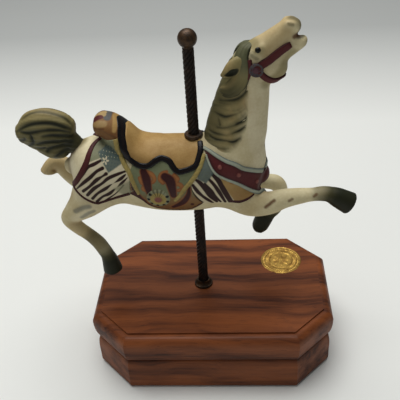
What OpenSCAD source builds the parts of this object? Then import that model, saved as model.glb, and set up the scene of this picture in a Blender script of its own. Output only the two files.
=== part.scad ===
// Carousel music box: a porcelain horse that turns on a rope-twist pole above an
// octagonal wooden base, which holds a wind-up comb-and-cylinder movement.
// Millimetres. X is the way the horse faces, Z is up, and the origin is the centre
// of the base's underside.

/* [Wooden base] */
// Length of the flat top face
top_l = 160; // [150:1:170]
// Depth of the flat top face
top_d = 100; // [94:1:110]
// Length of the 45 degree corner cut along each side of the top face
corner_cut = 22; // [18:1:26]
// Thickness of the upper board
board_h = 23.7; // [22:0.1:27]
// Thickness of the lower board
plinth_h = 27.6; // [27:0.1:32]
// How far the upper board's bullnose stands out past the top face
bullnose_out = 6.9; // [4:0.1:9]
// How far the crease between the two boards stands out past the top face
waist_out = 3.2; // [1:0.1:5]
// How far the lower board stands out past the top face
plinth_out = 5.7; // [4:0.1:8]
// Height of the small step round the top face
quirk_h = 1.4; // [0.6:0.1:2]
// Width of the small step round the top face
quirk_w = 1.2; // [0.6:0.1:2]
// Radius of the round along the bottom edge
foot_round = 3; // [1:0.1:5]
// Wood left above the movement's pocket
roof_t = 10; // [8:0.1:12]

/* [Hollow of the base] */
// Length of the movement's hollow
hollow_l = 124; // [120:1:132]
// Depth of the movement's hollow
hollow_d = 68; // [64:1:74]
// Corner radius of the hollow
hollow_r = 10; // [6:0.5:12]
// Width of the ledge that the bottom board lies against
ledge_w = 6; // [5:0.5:8]
// Depth of the recess below the bottom board
recess_h = 14; // [13:0.1:16]
// Thickness of the bottom board
bottom_t = 3; // [2:0.1:4]
// Gap round the bottom board
bottom_gap = 0.4; // [0.2:0.1:1]
// Diameter of the winding key's hole in the bottom board
key_hole_d = 12; // [10:0.5:16]

/* [Seal] */
// Diameter of the foil seal
seal_d = 31; // [24:0.5:34]
// Thickness of the foil seal
seal_t = 0.4; // [0.2:0.1:0.8]
// Distance of the seal's centre from the base's middle, along the length
seal_x = 53; // [48:0.5:56]
// Distance of the seal's centre from the base's middle, to the back
seal_y = 25; // [20:0.5:27]

/* [Pole] */
// Distance of the pole from the middle of the base, to the left
pole_off = 6.4; // [4:0.1:9]
// Outer diameter of the rope-twist sleeves
pole_d = 7.2; // [6.8:0.1:8]
// Depth of the twist's grooves
twist_depth = 0.5; // [0.2:0.05:0.7]
// Number of strands in the twist
strands = 8; // [6:1:12]
// Rise of one strand in a full turn
twist_lead = 26; // [20:1:40]
// Diameter of the plain bearing end of the lower sleeve
journal_d = 7; // [6:0.1:7.4]
// Diameter of the core rod
rod_d = 4.6; // [3.8:0.1:5]
// Radial play between the rod and what is threaded on it
rod_play = 0.1; // [0.05:0.01:0.2]
// Radial play of the bearing
bearing_play = 0.06; // [0.02:0.01:0.1]
// Outer diameter of the bearing bush
bush_d = 10.5; // [10:0.1:12]
// Flange diameter of the bearing bush
bush_flange_d = 15; // [13:0.5:17]
// Thickness of the bush's flange
bush_flange_t = 1.2; // [1:0.1:2]
// Rim diameter of the bell collar on the base
ferrule_d = 13.5; // [12:0.1:16]
// Height of the bell collar
ferrule_h = 5; // [3:0.1:7]
// Wall of the bell collar
ferrule_wall = 0.8; // [0.6:0.1:1]
// Diameter of the ball on top
ball_d = 11.6; // [9:0.1:14]
// Height of the ball's centre above the base
ball_h = 192; // [186:1:198]
// Diameter of the ball's neck
ball_neck_d = 6.2; // [5.8:0.1:6.6]
// Height of the ball's neck below the ball
ball_neck_h = 1; // [0.5:0.1:2]
// Diameter of the saddle collar
collar_d = 12; // [10:0.1:13]
// Height of the saddle collar
collar_h = 2.8; // [2:0.1:4]

/* [Horse] */
// Height of the belly at the pole above the base
belly_h = 72.5; // [68:0.5:78]
// Height of the horse's trunk at the pole
trunk_h = 54; // [52:0.5:56]
// Thickness of the saddle over the trunk at the pole
saddle_t = 1; // [0.5:0.1:2]
// Height of the seat's rolled border above the seat
border_t = 0.8; // [0.4:0.1:1.2]
// Width of the seat's rolled border
border_w = 4.2; // [3:0.2:5]
// Thickness of the blanket over the trunk
blanket_t = 0.6; // [0.4:0.1:0.9]
// Thickness of the breast collar over the trunk
collar_relief = 1.2; // [1:0.1:1.6]
// Width of the trunk at the pole
trunk_w = 40; // [37:0.5:42]
// Distance of each pair of legs from the middle plane
leg_y = 13; // [12:0.2:14]
// Depth of the seats for the pole's parts
seat_depth = 2.5; // [2:0.1:3]
// Radial play round the pole's parts in their seats
seat_play = 0.3; // [0.2:0.05:0.5]

/* [Movement] */
// Thickness of the bedplate
bed_t = 2.5; // [2:0.1:3]
// Outer diameter of the spring barrel
barrel_d = 25; // [23:0.5:26]
// Height of the spring barrel
barrel_h = 11.8; // [10:0.1:12.5]
// Wall of the spring barrel
barrel_wall = 0.8; // [0.6:0.1:1.2]
// Teeth of the crown wheel
crown_teeth = 60; // [54:1:66]
// Outer radius of the crown wheel
crown_r = 17; // [16.8:0.1:17.3]
// Width of the crown wheel's toothed rim
crown_rim = 2.7; // [2.3:0.1:3]
// Thickness of the crown wheel's plate
crown_t = 1.2; // [1:0.1:1.5]
// Height of the crown teeth
crown_tooth_h = 1.3; // [1.1:0.1:1.4]
// Running gap under the crown wheel
crown_gap = 0.5; // [0.3:0.1:0.8]
// Diameter of the spring arbor
arbor_d = 5; // [4.6:0.1:5.4]
// Diameter of the music cylinder
drum_d = 12.4; // [12:0.1:12.8]
// Length of the music cylinder
drum_l = 25; // [24:0.5:26]
// Height of the cylinder's pins
pin_h = 0.6; // [0.4:0.05:0.7]
// Diameter of the cylinder's pins
pin_d = 0.5; // [0.4:0.05:0.6]
// Pins in each track
pins_per_track = 3; // [2:1:4]
// Diameter of the cylinder's arbor
drum_arbor_d = 2; // [1.6:0.1:2.2]
// Number of comb teeth
comb_teeth = 18; // [14:1:20]
// Gap between comb teeth
comb_slot = 0.35; // [0.25:0.05:0.5]
// Thickness of the comb
comb_t = 1.4; // [1:0.1:1.8]
// Length of the comb's solid back
comb_back = 7; // [6:0.5:8]
// Length of the shortest comb tooth
comb_short = 6.5; // [5:0.5:8]
// Length of the longest comb tooth
comb_long = 10; // [8:0.5:11]
// Gap between the comb's tips and the pins
comb_gap = 0.15; // [0.1:0.05:0.3]
// Tooth module of the governor train
train_m = 0.35; // [0.34:0.01:0.36]
// Teeth of the cylinder's wheel
drum_wheel_teeth = 36; // [34:1:38]
// Teeth of the governor's pinion
gov_pinion_teeth = 9; // [8:1:10]
// Teeth of the governor's worm wheel
worm_wheel_teeth = 20; // [18:1:22]
// Pitch radius of the worm wheel
worm_wheel_r = 4.5; // [4.3:0.1:4.7]
// Outer radius of the worm
worm_r = 1.7; // [1.6:0.05:1.8]
// Span of the air brake's vanes
fan_span = 8; // [7:0.5:9]
// Diameter of the movement's small screws
screw_d = 2.4; // [2:0.1:2.6]
// Width of the winding key
key_w = 22; // [18:0.5:24]
// Height of the winding key's wings
key_h = 7.5; // [6:0.1:8]
// Thickness of the winding key's wings
key_t = 1.8; // [1.4:0.1:2.2]

/* [Hidden] */
$fn = 48;
eps = 0.01;

// Wood colours and metals
oak = [0.42, 0.20, 0.11];
bronze = [0.25, 0.18, 0.12];
brass = [0.78, 0.62, 0.32];
steel = [0.62, 0.63, 0.65];
gold = [0.80, 0.66, 0.28];
bisque = [0.88, 0.83, 0.72];
zinc = [0.70, 0.71, 0.72];

// Heights of the base
base_h = plinth_h + board_h;
board_z = recess_h;                       // underside of the bottom board
bed_z = board_z + bottom_t;               // underside of the bedplate
bed_top = bed_z + bed_t;
pocket_top = base_h - roof_t;
wood_grip = 8;                            // length of a wood screw in the plinth

// Heights up the pole
coupling_top = pocket_top - bush_flange_t - 0.2;
crown_z = bed_top + crown_gap;
barrel_z = crown_z + crown_t;
barrel_top = barrel_z + barrel_h;
shaft_flange_t = 1;
coupling_z = barrel_top + shaft_flange_t + 0.3;
coupling_mid = (coupling_z + coupling_top) / 2;
coupling_d = 10;
belly_z = base_h + belly_h;
sleeve_seat_z = belly_z + seat_depth;
saddle_z = belly_z + trunk_h + saddle_t;
collar_z = saddle_z - 0.6;
ball_z = base_h + ball_h;
ball_bottom = ball_z - sqrt(pow(ball_d / 2, 2) - pow(ball_neck_d / 2, 2)) - ball_neck_h;
rod_top = ball_z + 1;

// Gear train
crown_mid_r = crown_r - crown_rim / 2;
crown_pitch = 2 * PI * crown_mid_r / crown_teeth;
drum_pinion_teeth = 12;
drum_pinion_r = crown_pitch * drum_pinion_teeth / (2 * PI);
mesh_depth = 0.55;
drum_z = barrel_z + crown_tooth_h - mesh_depth + drum_pinion_r;
pinion_x = crown_r - crown_rim;           // from the barrel's axis, as all x below
post_t = 2;
post_w = 6;                               // width of a bearing post
post_foot = 14;                           // width over a bearing post's two feet
post_a_x = crown_r + 1;
drum_x = post_a_x + post_t + 0.6;
drum_wheel_t = 1.2;
drum_end = drum_x + drum_l;
wheel_x = drum_end + 0.3;
post_b_x = wheel_x + drum_wheel_t + 0.8;
train_r = train_m * (drum_wheel_teeth + gov_pinion_teeth) / 2;
gov_y = train_r;
gov_end = post_b_x + post_t + 10;
worm_wheel_x = post_b_x + post_t + 3;
worm_wheel_t = 1.6;
worm_axis_x = worm_wheel_x + worm_wheel_t / 2;
worm_wheel_add = 0.35;
worm_engage = 0.3;                        // how far the wheel's teeth reach into the thread
thread_lift = 0.4;                        // half the depth of the worm's thread
worm_axis_y = gov_y + worm_wheel_r + worm_wheel_add + worm_r - worm_engage;
worm_lead = 2 * PI * worm_wheel_r / worm_wheel_teeth;
worm_l = 8.5;
worm_z0 = drum_z - worm_l / 2;
frame_t = 1;
fan_h = 4.6;
fan_z = worm_z0 + worm_l + 0.4;
frame_top = fan_z + fan_h + 1.1 + frame_t;

// Bedplate
bed_x0 = -crown_r - 2;
bed_x1 = gov_end + 2;
bed_y0 = -27;
bed_y1 = worm_axis_y + fan_span / 2 + 7.2;
comb_tip_y = -(drum_d / 2 + pin_h + comb_gap);
comb_root_y = comb_tip_y - comb_long;
comb_back_y = comb_root_y - comb_back;
comb_z = drum_z - comb_t / 2;
rail_w = comb_back - 0.5;
track = drum_l / comb_teeth;

// ---------- helpers ----------

// Moves children to the pole's axis
module at_pole() { translate([-pole_off, 0, 0]) children(); }

// A cylinder from one height to another
module rod(d, z0, z1) { translate([0, 0, z0]) cylinder(d = d, h = z1 - z0); }

// A cylinder along X
module shaft_x(d, x0, x1) { translate([x0, 0, 0]) rotate([0, 90, 0]) cylinder(d = d, h = x1 - x0); }

// Rounded slab whose sides stay true planes and cylinders
module slab(l, d, r, h) {
  translate([-l / 2 + r, -d / 2, 0]) cube([l - 2 * r, d, h]);
  translate([-l / 2, -d / 2 + r, 0]) cube([l, d - 2 * r, h]);
  for (sx = [-1, 1], sy = [-1, 1])
    translate([sx * (l / 2 - r), sy * (d / 2 - r), 0]) cylinder(r = r, h = h);
}

// Points of a quarter ellipse, from angle a0 to a1
function arc(cx, cz, rx, rz, a0, a1, n) =
  [for (i = [0:n]) let (a = a0 + (a1 - a0) * i / n) [cx + rx * cos(a), cz + rz * sin(a)]];

// One run of the moulding: the profile mirrored about the middle and carried along Y
module moulding_run(half, profile) {
  n = len(profile);
  rotate([90, 0, 0]) linear_extrude(height = 2 * top_l, center = true)
    polygon(concat([for (p = profile) [half + p[0], p[1]]],
      [for (i = [n - 1:-1:0]) [-half - profile[i][0], profile[i][1]]]));
}

// Mitred octagon: the part common to four runs of the same moulding
module octagon_block(profile) {
  diagonal = (top_l / 2 + top_d / 2 - corner_cut) / sqrt(2);
  intersection() {
    moulding_run(top_l / 2, profile);
    rotate([0, 0, 90]) moulding_run(top_d / 2, profile);
    rotate([0, 0, 45]) moulding_run(diagonal, profile);
    rotate([0, 0, -45]) moulding_run(diagonal, profile);
  }
}

// Pan-head screw: head down, shank up from its seat at z = 0
module screw_up(d, l) {
  translate([0, 0, -d * 0.5]) difference() {
    cylinder(d = 2 * d, h = d * 0.5);
    translate([-d, -d * 0.12, -eps]) cube([2 * d, d * 0.24, d * 0.25]);
  }
  translate([0, 0, -eps]) cylinder(d = d, h = l);
}

// The same screw with its head up and its shank down
module screw_down(d, l) { rotate([180, 0, 0]) screw_up(d, l); }

// Spur gear outline with n slim teeth; add and ded are its addendum and dedendum
module gear_outline(n, r, add, ded) {
  root = r - ded;
  tip = r + add;
  step = 360 / n;
  polygon([for (i = [0:n - 1]) for (q = [[root, -0.27], [tip, -0.11], [tip, 0.11], [root, 0.27]])
    let (a = (i + q[1]) * step) [q[0] * cos(a), q[0] * sin(a)]]);
}

// ---------- wooden base ----------

board_profile = concat(
  arc(waist_out, board_h * 0.63, bullnose_out - waist_out, board_h * 0.63, -90, 0, 7),
  arc(quirk_w, board_h * 0.63, bullnose_out - quirk_w, board_h * 0.37 - quirk_h, 8, 90, 7),
  [[0, board_h - quirk_h], [0, board_h]]);

plinth_profile = concat(
  arc(plinth_out - foot_round, foot_round, foot_round, foot_round, -90, 0, 5),
  arc(waist_out, plinth_h * 0.62, plinth_out - waist_out, plinth_h * 0.38, 0, 90, 6));

module base_top_board() {
  color(oak) translate([0, 0, plinth_h]) difference() {
    octagon_block(board_profile);
    translate([0, 0, -1]) slab(hollow_l, hollow_d, hollow_r, board_h - roof_t + 1);
    at_pole() rod(bush_d, 0, board_h + 1);
  }
}

module base_plinth() {
  color(oak) difference() {
    octagon_block(plinth_profile);
    translate([0, 0, -1]) slab(hollow_l, hollow_d, hollow_r, plinth_h + 2);
    translate([0, 0, -1]) slab(hollow_l + 2 * ledge_w, hollow_d + 2 * ledge_w,
      hollow_r + ledge_w, board_z + bottom_t + 1);
    board_screw_places() cylinder(d = screw_d, h = bed_z + wood_grip);
  }
}

// Four places along the ledge
module board_screw_places() {
  for (sx = [-1, 1], sy = [-1, 1])
    translate([sx * (hollow_l + ledge_w) / 2, sy * hollow_d * 0.3, 0]) children();
}

module bottom_board() {
  color([0.30, 0.22, 0.16]) difference() {
    translate([0, 0, board_z]) slab(hollow_l + 2 * ledge_w - 2 * bottom_gap,
      hollow_d + 2 * ledge_w - 2 * bottom_gap, hollow_r + ledge_w - bottom_gap, bottom_t);
    at_pole() rod(key_hole_d, 0, base_h);
    board_screw_places() cylinder(d = screw_d + 0.4, h = base_h);
    at_pole() bed_screw_places() cylinder(d = screw_d + 0.4, h = base_h);
  }
}

module board_screws() {
  color(steel) board_screw_places() translate([0, 0, board_z]) screw_up(screw_d, bottom_t + wood_grip);
}

module seal_disc() {
  color(gold) translate([seal_x, seal_y, base_h]) {
    cylinder(d = seal_d, h = seal_t * 0.6);
    cylinder(d = seal_d - 1.2, h = seal_t);
  }
}

// ---------- pole ----------

module pole_ferrule() {
  bore_r = pole_d / 2 + 0.4;
  rim_r = ferrule_d / 2;
  color(bronze) at_pole() translate([0, 0, base_h]) rotate_extrude()
    polygon(concat([[bore_r, 0], [rim_r, 0], [rim_r, 1.1]],
      arc(rim_r - 0.2, ferrule_h, rim_r - 0.2 - bore_r - ferrule_wall, ferrule_h - 1.6, -90, -180, 8),
      [[bore_r, ferrule_h]]));
}

module pole_bush() {
  color(brass) at_pole() difference() {
    union() {
      rod(bush_d, pocket_top - eps, base_h);
      rod(bush_flange_d, pocket_top - bush_flange_t, pocket_top);
    }
    rod(journal_d + 2 * bearing_play, pocket_top - bush_flange_t - 1, base_h + 1);
  }
}

module pole_rod() {
  color(steel) at_pole() rod(rod_d, coupling_mid, rod_top);
}

// Outline of the rope twist: strands as round lobes between narrow grooves
module twist_outline() {
  polygon([for (i = [0:strands * 4 - 1]) let (a = i * 90 / strands,
    r = pole_d / 2 - twist_depth * [1, 0.15, 0, 0.15][i % 4]) [r * cos(a), r * sin(a)]]);
}

// Twisted length, rising as a right-handed thread does
module twisted(z0, z1) {
  turns = (z1 - z0) / twist_lead;
  translate([0, 0, z0]) linear_extrude(height = z1 - z0, twist = -360 * turns,
    slices = ceil(turns * 12), $fn = 8) twist_outline();
}

module lower_sleeve() {
  journal_top = base_h + ferrule_h * 0.6;
  color(bronze) at_pole() difference() {
    union() {
      rod(journal_d, coupling_top, journal_top);
      twisted(journal_top, sleeve_seat_z);
    }
    rod(rod_d + 2 * rod_play, coupling_top - 1, sleeve_seat_z + 1);
  }
}

module upper_sleeve() {
  color(bronze) at_pole() difference() {
    twisted(collar_z + collar_h, ball_bottom);
    rod(rod_d + 2 * rod_play, collar_z, ball_bottom + 1);
  }
}

module ball_finial() {
  color(bronze) at_pole() difference() {
    union() {
      translate([0, 0, ball_z]) sphere(d = ball_d);
      rod(ball_neck_d, ball_bottom, ball_z);
    }
    rod(rod_d + 2 * rod_play, ball_bottom - 1, rod_top);
  }
}

module saddle_collar() {
  bore_r = rod_d / 2 + rod_play;
  round_r = collar_h * 0.35;
  color(bronze) at_pole() translate([0, 0, collar_z]) rotate_extrude()
    polygon(concat([[bore_r, 0]],
      arc(collar_d / 2 - round_r, round_r, round_r, round_r, -90, 0, 5),
      arc(collar_d / 2 - round_r, collar_h - round_r, round_r, round_r, 0, 90, 5),
      [[bore_r, collar_h]]));
}

// ---------- horse ----------

// Catmull-Rom value between b and c
function mid(a, b, c, d, t) =
  0.5 * (2 * b + (c - a) * t + (2 * a - 5 * b + 4 * c - d) * t * t
    + (3 * b - a - 3 * c + d) * t * t * t);

// Stations are [x, y, z, half height, half width]; this adds k - 1 between each pair
function refine(st, k) = let (n = len(st)) [for (i = [0:n - 2], j = [0:k - 1])
  mid(st[max(i - 1, 0)], st[i], st[i + 1], st[min(i + 2, n - 1)], j / k), st[n - 1]];

// Unit direction in the XZ plane at station i
function heading(s, i) = let (n = len(s), a = s[max(i - 1, 0)], b = s[min(i + 1, n - 1)],
  v = [b[0] - a[0], b[2] - a[2]]) v / max(norm(v), 0.001);

// Closed body of elliptical rings along the stations, with domed ends
module limb(stations, sides = 12, k = 2, dome = 0.4) {
  s = refine(stations, k);
  n = len(s);
  rings = [for (i = [0:n - 1]) let (h = heading(s, i)) for (j = [0:sides - 1])
    let (a = 360 * j / sides, u = s[i][3] * cos(a), v = s[i][4] * sin(a))
      [s[i][0] - h[1] * u, s[i][1] + v, s[i][2] + h[0] * u]];
  first = heading(s, 0);
  last = heading(s, n - 1);
  ends = [[s[0][0] - first[0] * s[0][3] * dome, s[0][1], s[0][2] - first[1] * s[0][3] * dome],
    [s[n - 1][0] + last[0] * s[n - 1][3] * dome, s[n - 1][1],
      s[n - 1][2] + last[1] * s[n - 1][3] * dome]];
  c0 = n * sides;
  polyhedron(concat(rings, ends), concat(
    [for (i = [0:n - 2], j = [0:sides - 1]) let (a = i * sides + j,
      b = i * sides + (j + 1) % sides) [a, b, b + sides, a + sides]],
    [for (j = [0:sides - 1]) [c0, (j + 1) % sides, j]],
    [for (j = [0:sides - 1]) let (r = (n - 1) * sides) [c0 + 1, r + j, r + (j + 1) % sides]]),
    convexity = 6);
}

// All of the horse is placed from the pole's axis (x = 0) and the belly there (z = 0)
half_h = trunk_h / 2;
half_w = trunk_w / 2;

// Stations moved to the near side (s = -1) or the far side (s = 1)
function sided(st, s) = [for (q = st) [q[0], s * q[1], q[2], q[3], q[4]]];

// Stations made larger all round, as the body of what lies on them
function grown(st, by) = [for (q = st) [q[0], q[1], q[2], q[3] + by, q[4] + by]];

// Rump to breast
trunk = [[-85, 0, 35, 6, 5], [-80.5, 0, 35, 14.6, 11.5], [-73, 0, 34.6, 20.4, 16.5],
  [-62, 0, 32.6, 23.4, 18.6], [-50, 0, 31.3, 23.5, half_w - 1.2], [-36, 0, 29, 25.4, half_w - 0.4],
  [-20, 0, half_h, half_h, half_w], [0, 0, half_h, half_h, half_w],
  [13, 0, 29.5, 26.2, half_w - 0.6], [24, 0, 33, 24.5, half_w - 2.5], [32, 0, 34.5, 20.5, 14.5],
  [38, 0, 35.5, 14.5, 11], [43, 0, 36, 9, 7], [46, 0, 36.2, 4.5, 3.5]];

neck = [[23, 0, 36, 22, 15], [26, 0, 49, 20, 13.5], [28.5, 0, 60, 18, 12], [30.3, 0, 70, 16.2, 10.6],
  [32.6, 0, 81, 14.6, 9.2], [36, 0, 92, 12.2, 8.4], [39, 0, 101, 9.5, 7]];

muzzle = [[34.5, 0, 102.5, 9.2, 7.2], [40.8, 0, 107.6, 9.4, 7.8], [47.5, 0, 112.6, 7.8, 6.7],
  [54, 0, 118.1, 5.9, 5.3], [59.2, 0, 122.6, 4.8, 4.8], [62.6, 0, 123.6, 3.7, 4],
  [65, 0, 123.6, 2, 2.4]];

jaw = [[42, 0, 101.5, 10, 7.6], [50, 0, 103.5, 7.8, 6.4], [56.6, 0, 107.4, 4.8, 4.4],
  [61.6, 0, 111.4, 3.9, 3.8], [65.4, 0, 114.6, 3.3, 3.6], [68, 0, 117.2, 2, 2.4]];

near_fore = [[26, -leg_y + 3, 19, 15.4, 8], [36, -leg_y + 1, 10.6, 10.6, 7.5],
  [47, -leg_y, 10.2, 8.4, 6.6], [57, -leg_y - 0.5, 13.8, 6.6, 6.2], [66.5, -leg_y - 0.5, 15.6, 5.5, 5.3],
  [75, -leg_y - 0.5, 16.6, 4.5, 4.6], [81.5, -leg_y - 0.5, 17.2, 4.9, 5],
  [86.5, -leg_y - 0.5, 16.6, 5.2, 5.2]];
near_fore_hoof = [[86.5, -leg_y - 0.5, 16.6, 5.2, 5.2], [91.5, -leg_y - 0.5, 14, 6.6, 6.2],
  [100.5, -leg_y - 0.5, 8.6, 7.8, 7.2]];

far_fore = [[26, leg_y - 3, 22, 14, 8], [35, leg_y - 1, 15, 8.5, 7], [45, leg_y, 10.5, 5.4, 5.6],
  [53.5, leg_y, 8.5, 5.6, 5.6], [57, leg_y, 2.5, 5, 5.2], [56.5, leg_y, -5, 4.2, 4.4],
  [54, leg_y, -12, 4.8, 4.8], [50, leg_y, -16.5, 4.9, 4.9]];
far_fore_hoof = [[50, leg_y, -16.5, 4.9, 4.9], [46, leg_y, -20, 6, 5.8], [41, leg_y, -26, 7.4, 7]];

near_hind = [[-56, -leg_y + 4, 32, 20, 9.5], [-66, -leg_y + 2, 22.5, 16, 9.5],
  [-75, -leg_y + 0.5, 12.5, 11.2, 8], [-83, -leg_y, 5.5, 7.6, 6.2], [-87, -leg_y, 0.5, 5.8, 5.4],
  [-82.5, -leg_y, -7, 4.8, 4.8], [-76, -leg_y, -13.5, 4.4, 4.6], [-70.5, -leg_y, -20.5, 4.8, 4.9],
  [-67, -leg_y, -28, 4.9, 5], [-65.4, -leg_y, -32, 4.9, 5]];
near_hind_hoof = [[-65.4, -leg_y, -32, 4.9, 5], [-64.4, -leg_y, -37, 5.8, 5.8],
  [-63.4, -leg_y, -46, 7, 6.8]];

far_hind = [[-56, leg_y - 4, 32, 21, 9.5], [-66, leg_y - 2, 22, 15, 9], [-76, leg_y - 1, 15, 10, 7.6],
  [-83, leg_y, 16, 7, 6], [-88, leg_y, 22, 5.6, 5.4], [-91.5, leg_y, 27.5, 5.2, 5.2],
  [-95, leg_y, 30, 5.2, 5.2]];
far_hind_hoof = [[-95, leg_y, 30, 5.2, 5.2], [-99.5, leg_y, 30.2, 6.2, 6], [-106, leg_y, 29.6, 7.2, 6.8]];

// The tail's body, and its locks on one side
tail = [[-79.5, 0, 61, 8, 5.5], [-83.5, 0, 61.8, 11.8, 7.6], [-89, 0, 61.6, 14, 8.2],
  [-97, 0, 61.3, 13.6, 8], [-105, 0, 60.3, 9.8, 6.2], [-110, 0, 59.2, 5, 4]];
tail_root = [[-74, 0, 46, 5, 4.5], [-79, 0, 53, 5.5, 5.2], [-85, 0, 58, 6, 6]];
tail_end = [[-82, 0, 51, 4, 4.5], [-87, 0, 49.5, 6.6, 6.2], [-93, 0, 48.5, 6.2, 6.2],
  [-99, 0, 49.8, 4.5, 4.6]];
tail_locks = [
  [[-77, 3, 64, 1.5, 2], [-84, 4, 71, 3.2, 2.8], [-95, 4.4, 73.2, 3.2, 2.8], [-107.5, 3, 67.5, 1, 1]],
  [[-78.5, 6, 58, 1.5, 2], [-86, 7.6, 64.6, 3.4, 2.4], [-97, 8, 66.4, 3.2, 2.4], [-110, 4, 62.5, 0.8, 1]],
  [[-78.5, 6, 53, 1.5, 2], [-86, 7.6, 57, 3, 2.2], [-97, 7.6, 58.8, 2.8, 2.2], [-110, 3, 57.6, 0.8, 1]]];

// Locks of the mane on one side, from the crest forwards, and the forelock
mane_locks = [
  [[18, 1, 89, 1.5, 2], [24, 6.5, 88.6, 3.8, 2.6], [33.8, 8.2, 94.5, 0.9, 1]],
  [[14.5, 1, 79, 1.5, 2], [21, 8, 77.6, 4.6, 2.6], [28.5, 9.6, 80.5, 3.8, 2], [34, 8.7, 87.5, 0.8, 1]],
  [[12, 2, 67.5, 1.5, 2], [19, 9, 66, 4.6, 2.6], [27.5, 11, 68.5, 3.4, 2], [33.5, 9.9, 75, 0.8, 1]],
  [[9, 5, 57, 1.4, 2], [16, 11, 55.4, 4, 2.6], [25, 12.8, 57, 3.2, 2], [30, 12, 61, 0.8, 1]]];
forelock = [[37, 0.5, 115.5, 1.5, 1.8], [33.5, 4, 111.5, 4.6, 2.4], [31.5, 7, 102.5, 5, 2.2],
  [30.8, 7.5, 95, 4, 2], [26, 7, 88.5, 3.2, 1.8], [18.5, 2, 84.5, 1, 1]];
crest = [[13.4, 0, 58, 4, 4], [14.8, 0, 66, 4, 4.5], [17.2, 0, 73, 4, 4.8], [19.8, 0, 81, 4, 5],
  [22.3, 0, 88, 4, 5], [25.3, 0, 95, 4.2, 5], [28.8, 0, 102, 4.4, 5], [32.8, 0, 107.6, 4.6, 5]];
ear = [[32.5, 5, 105, 2, 1.6], [29, 6, 101.5, 3.4, 2], [25.5, 6.6, 98.3, 3.1, 2],
  [18.8, 5.8, 92.6, 0.6, 0.6]];

// Raised back of the saddle, rolled over at its end
cantle = [[-61.5, 0, 67.4, 4.8, 8], [-57.3, 0, 65.6, 7.4, 10], [-52.5, 0, 63.2, 8, 11.5],
  [-47, 0, 57.2, 8.6, 13], [-40, 0, 50.3, 8.6, 14], [-32, 0, 46.8, 8.8, 15], [-24, 0, 45.6, 9, 15.5]];

// Height at which the seat's border ends, at the cantle and at the pole
border_top = 52;

// Outlines seen from the side: the seat, the breast collar, and the blanket below both
seat_outline = [[-46, 62], [-43.5, 53.5], [-40.5, 48], [-37.5, 45.5], [-33.5, 43.5], [-28.5, 43.5],
  [-23.5, 46.5], [-20, 47], [-15.5, 45.5], [-11.5, 40.5], [-9, 39.5], [-5.5, 40], [-2, 41],
  [1.5, 43], [3.5, 47.5], [4.5, 51], [4.5, 62]];
collar_outline = [[6.5, 52], [15.5, 48], [20.5, 45.5], [26, 43], [31, 39.5], [36, 37], [41, 35.2],
  [52, 34], [52, 17.5], [45, 18], [40.5, 20], [34, 24.5], [28, 29], [24, 31.5], [19.5, 34],
  [14, 37.5], [10.5, 42.5]];
blanket_outline = [[-60, 60], [-65.5, 54], [-68, 51], [-70, 46.5], [-74, 40.5], [-77.5, 33],
  [-79.5, 29], [-76, 25.5], [-71, 21.5], [-64.5, 18], [-52, 21], [-42.5, 24], [-35.5, 18.5],
  [-30.5, 12], [-24.5, 8.5], [-14.5, 6.5], [-4.5, 7], [4.5, 14], [17, 14], [23, 14.8],
  [27.5, 14.2], [34.5, 17.2], [38.5, 20], [28, 29], [14, 37.5], [6.5, 52], [4, 60]];

// What of some bodies, grown by t, lies in an outline seen from the side
module laid(outline, t, bodies) {
  intersection() {
    union() for (b = bodies) limb(grown(b[0], t), b[1]);
    rotate([90, 0, 0]) linear_extrude(height = 2 * trunk_w, center = true) polygon(outline);
  }
}

// Rolled border of the seat, a strip to both sides of its outline
module seat_border() {
  intersection() {
    limb(grown(trunk, saddle_t + border_t), 20);
    rotate([90, 0, 0]) linear_extrude(height = 2 * trunk_w, center = true) difference() {
      offset(delta = border_w / 2) polygon(seat_outline);
      offset(delta = -border_w / 2) polygon(seat_outline);
      translate([-2 * trunk_h, border_top]) square([4 * trunk_h, trunk_h]);
    }
  }
}

module horse_form() {
  limb(trunk, 20);
  limb(neck, 14);
  limb(muzzle, 12);
  limb(jaw, 10);
  limb(near_fore, 10);
  limb(near_fore_hoof, 10, 1, 0.05);
  limb(far_fore, 10);
  limb(far_fore_hoof, 10, 1, 0.05);
  limb(near_hind, 10);
  limb(near_hind_hoof, 10, 1, 0.05);
  limb(far_hind, 10);
  limb(far_hind_hoof, 10, 1, 0.05);
  limb(tail, 12, 1);
  limb(tail_root, 10, 1);
  limb(tail_end, 10, 1);
  limb(crest, 8, 1);
  limb(cantle, 14, 1);
  for (s = [-1, 1]) {
    for (lock = concat(tail_locks, mane_locks)) limb(sided(lock, s), 6, 1);
    limb(sided(forelock, s), 8, 1);
    limb(sided(ear, s), 8, 1);
  }
  laid(seat_outline, saddle_t, [[trunk, 20]]);
  seat_border();
  laid(collar_outline, collar_relief, [[trunk, 20], [neck, 14]]);
  laid(blanket_outline, blanket_t,
    [[trunk, 20], [near_hind, 10], [far_hind, 10]]);
}

module horse() {
  rod_bore = rod_d + 2 * rod_play;
  color(bisque) at_pole() difference() {
    translate([0, 0, belly_z]) resize([0, 0, 0]) union() horse_form();
    rod(rod_bore, belly_z - half_h, saddle_z + half_h);
    rod(pole_d + 2 * seat_play, belly_z - half_h, sleeve_seat_z);
    rod(collar_d + 2 * seat_play, collar_z, saddle_z + half_h);
  }
}

// ---------- movement: spring and output ----------

module shaft_coupling() {
  color(steel) at_pole() difference() {
    rod(coupling_d, coupling_z, coupling_top);
    rod(rod_d, coupling_z - 1, coupling_top + 1);
    for (z = coupling_screw_heights) translate([0, 0, z]) rotate([90, 0, 0])
      cylinder(d = coupling_screw_d, h = coupling_d);
  }
}

coupling_screw_d = 1.6;
coupling_screw_heights = [coupling_z + 1.3, coupling_top - 1.3];

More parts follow.
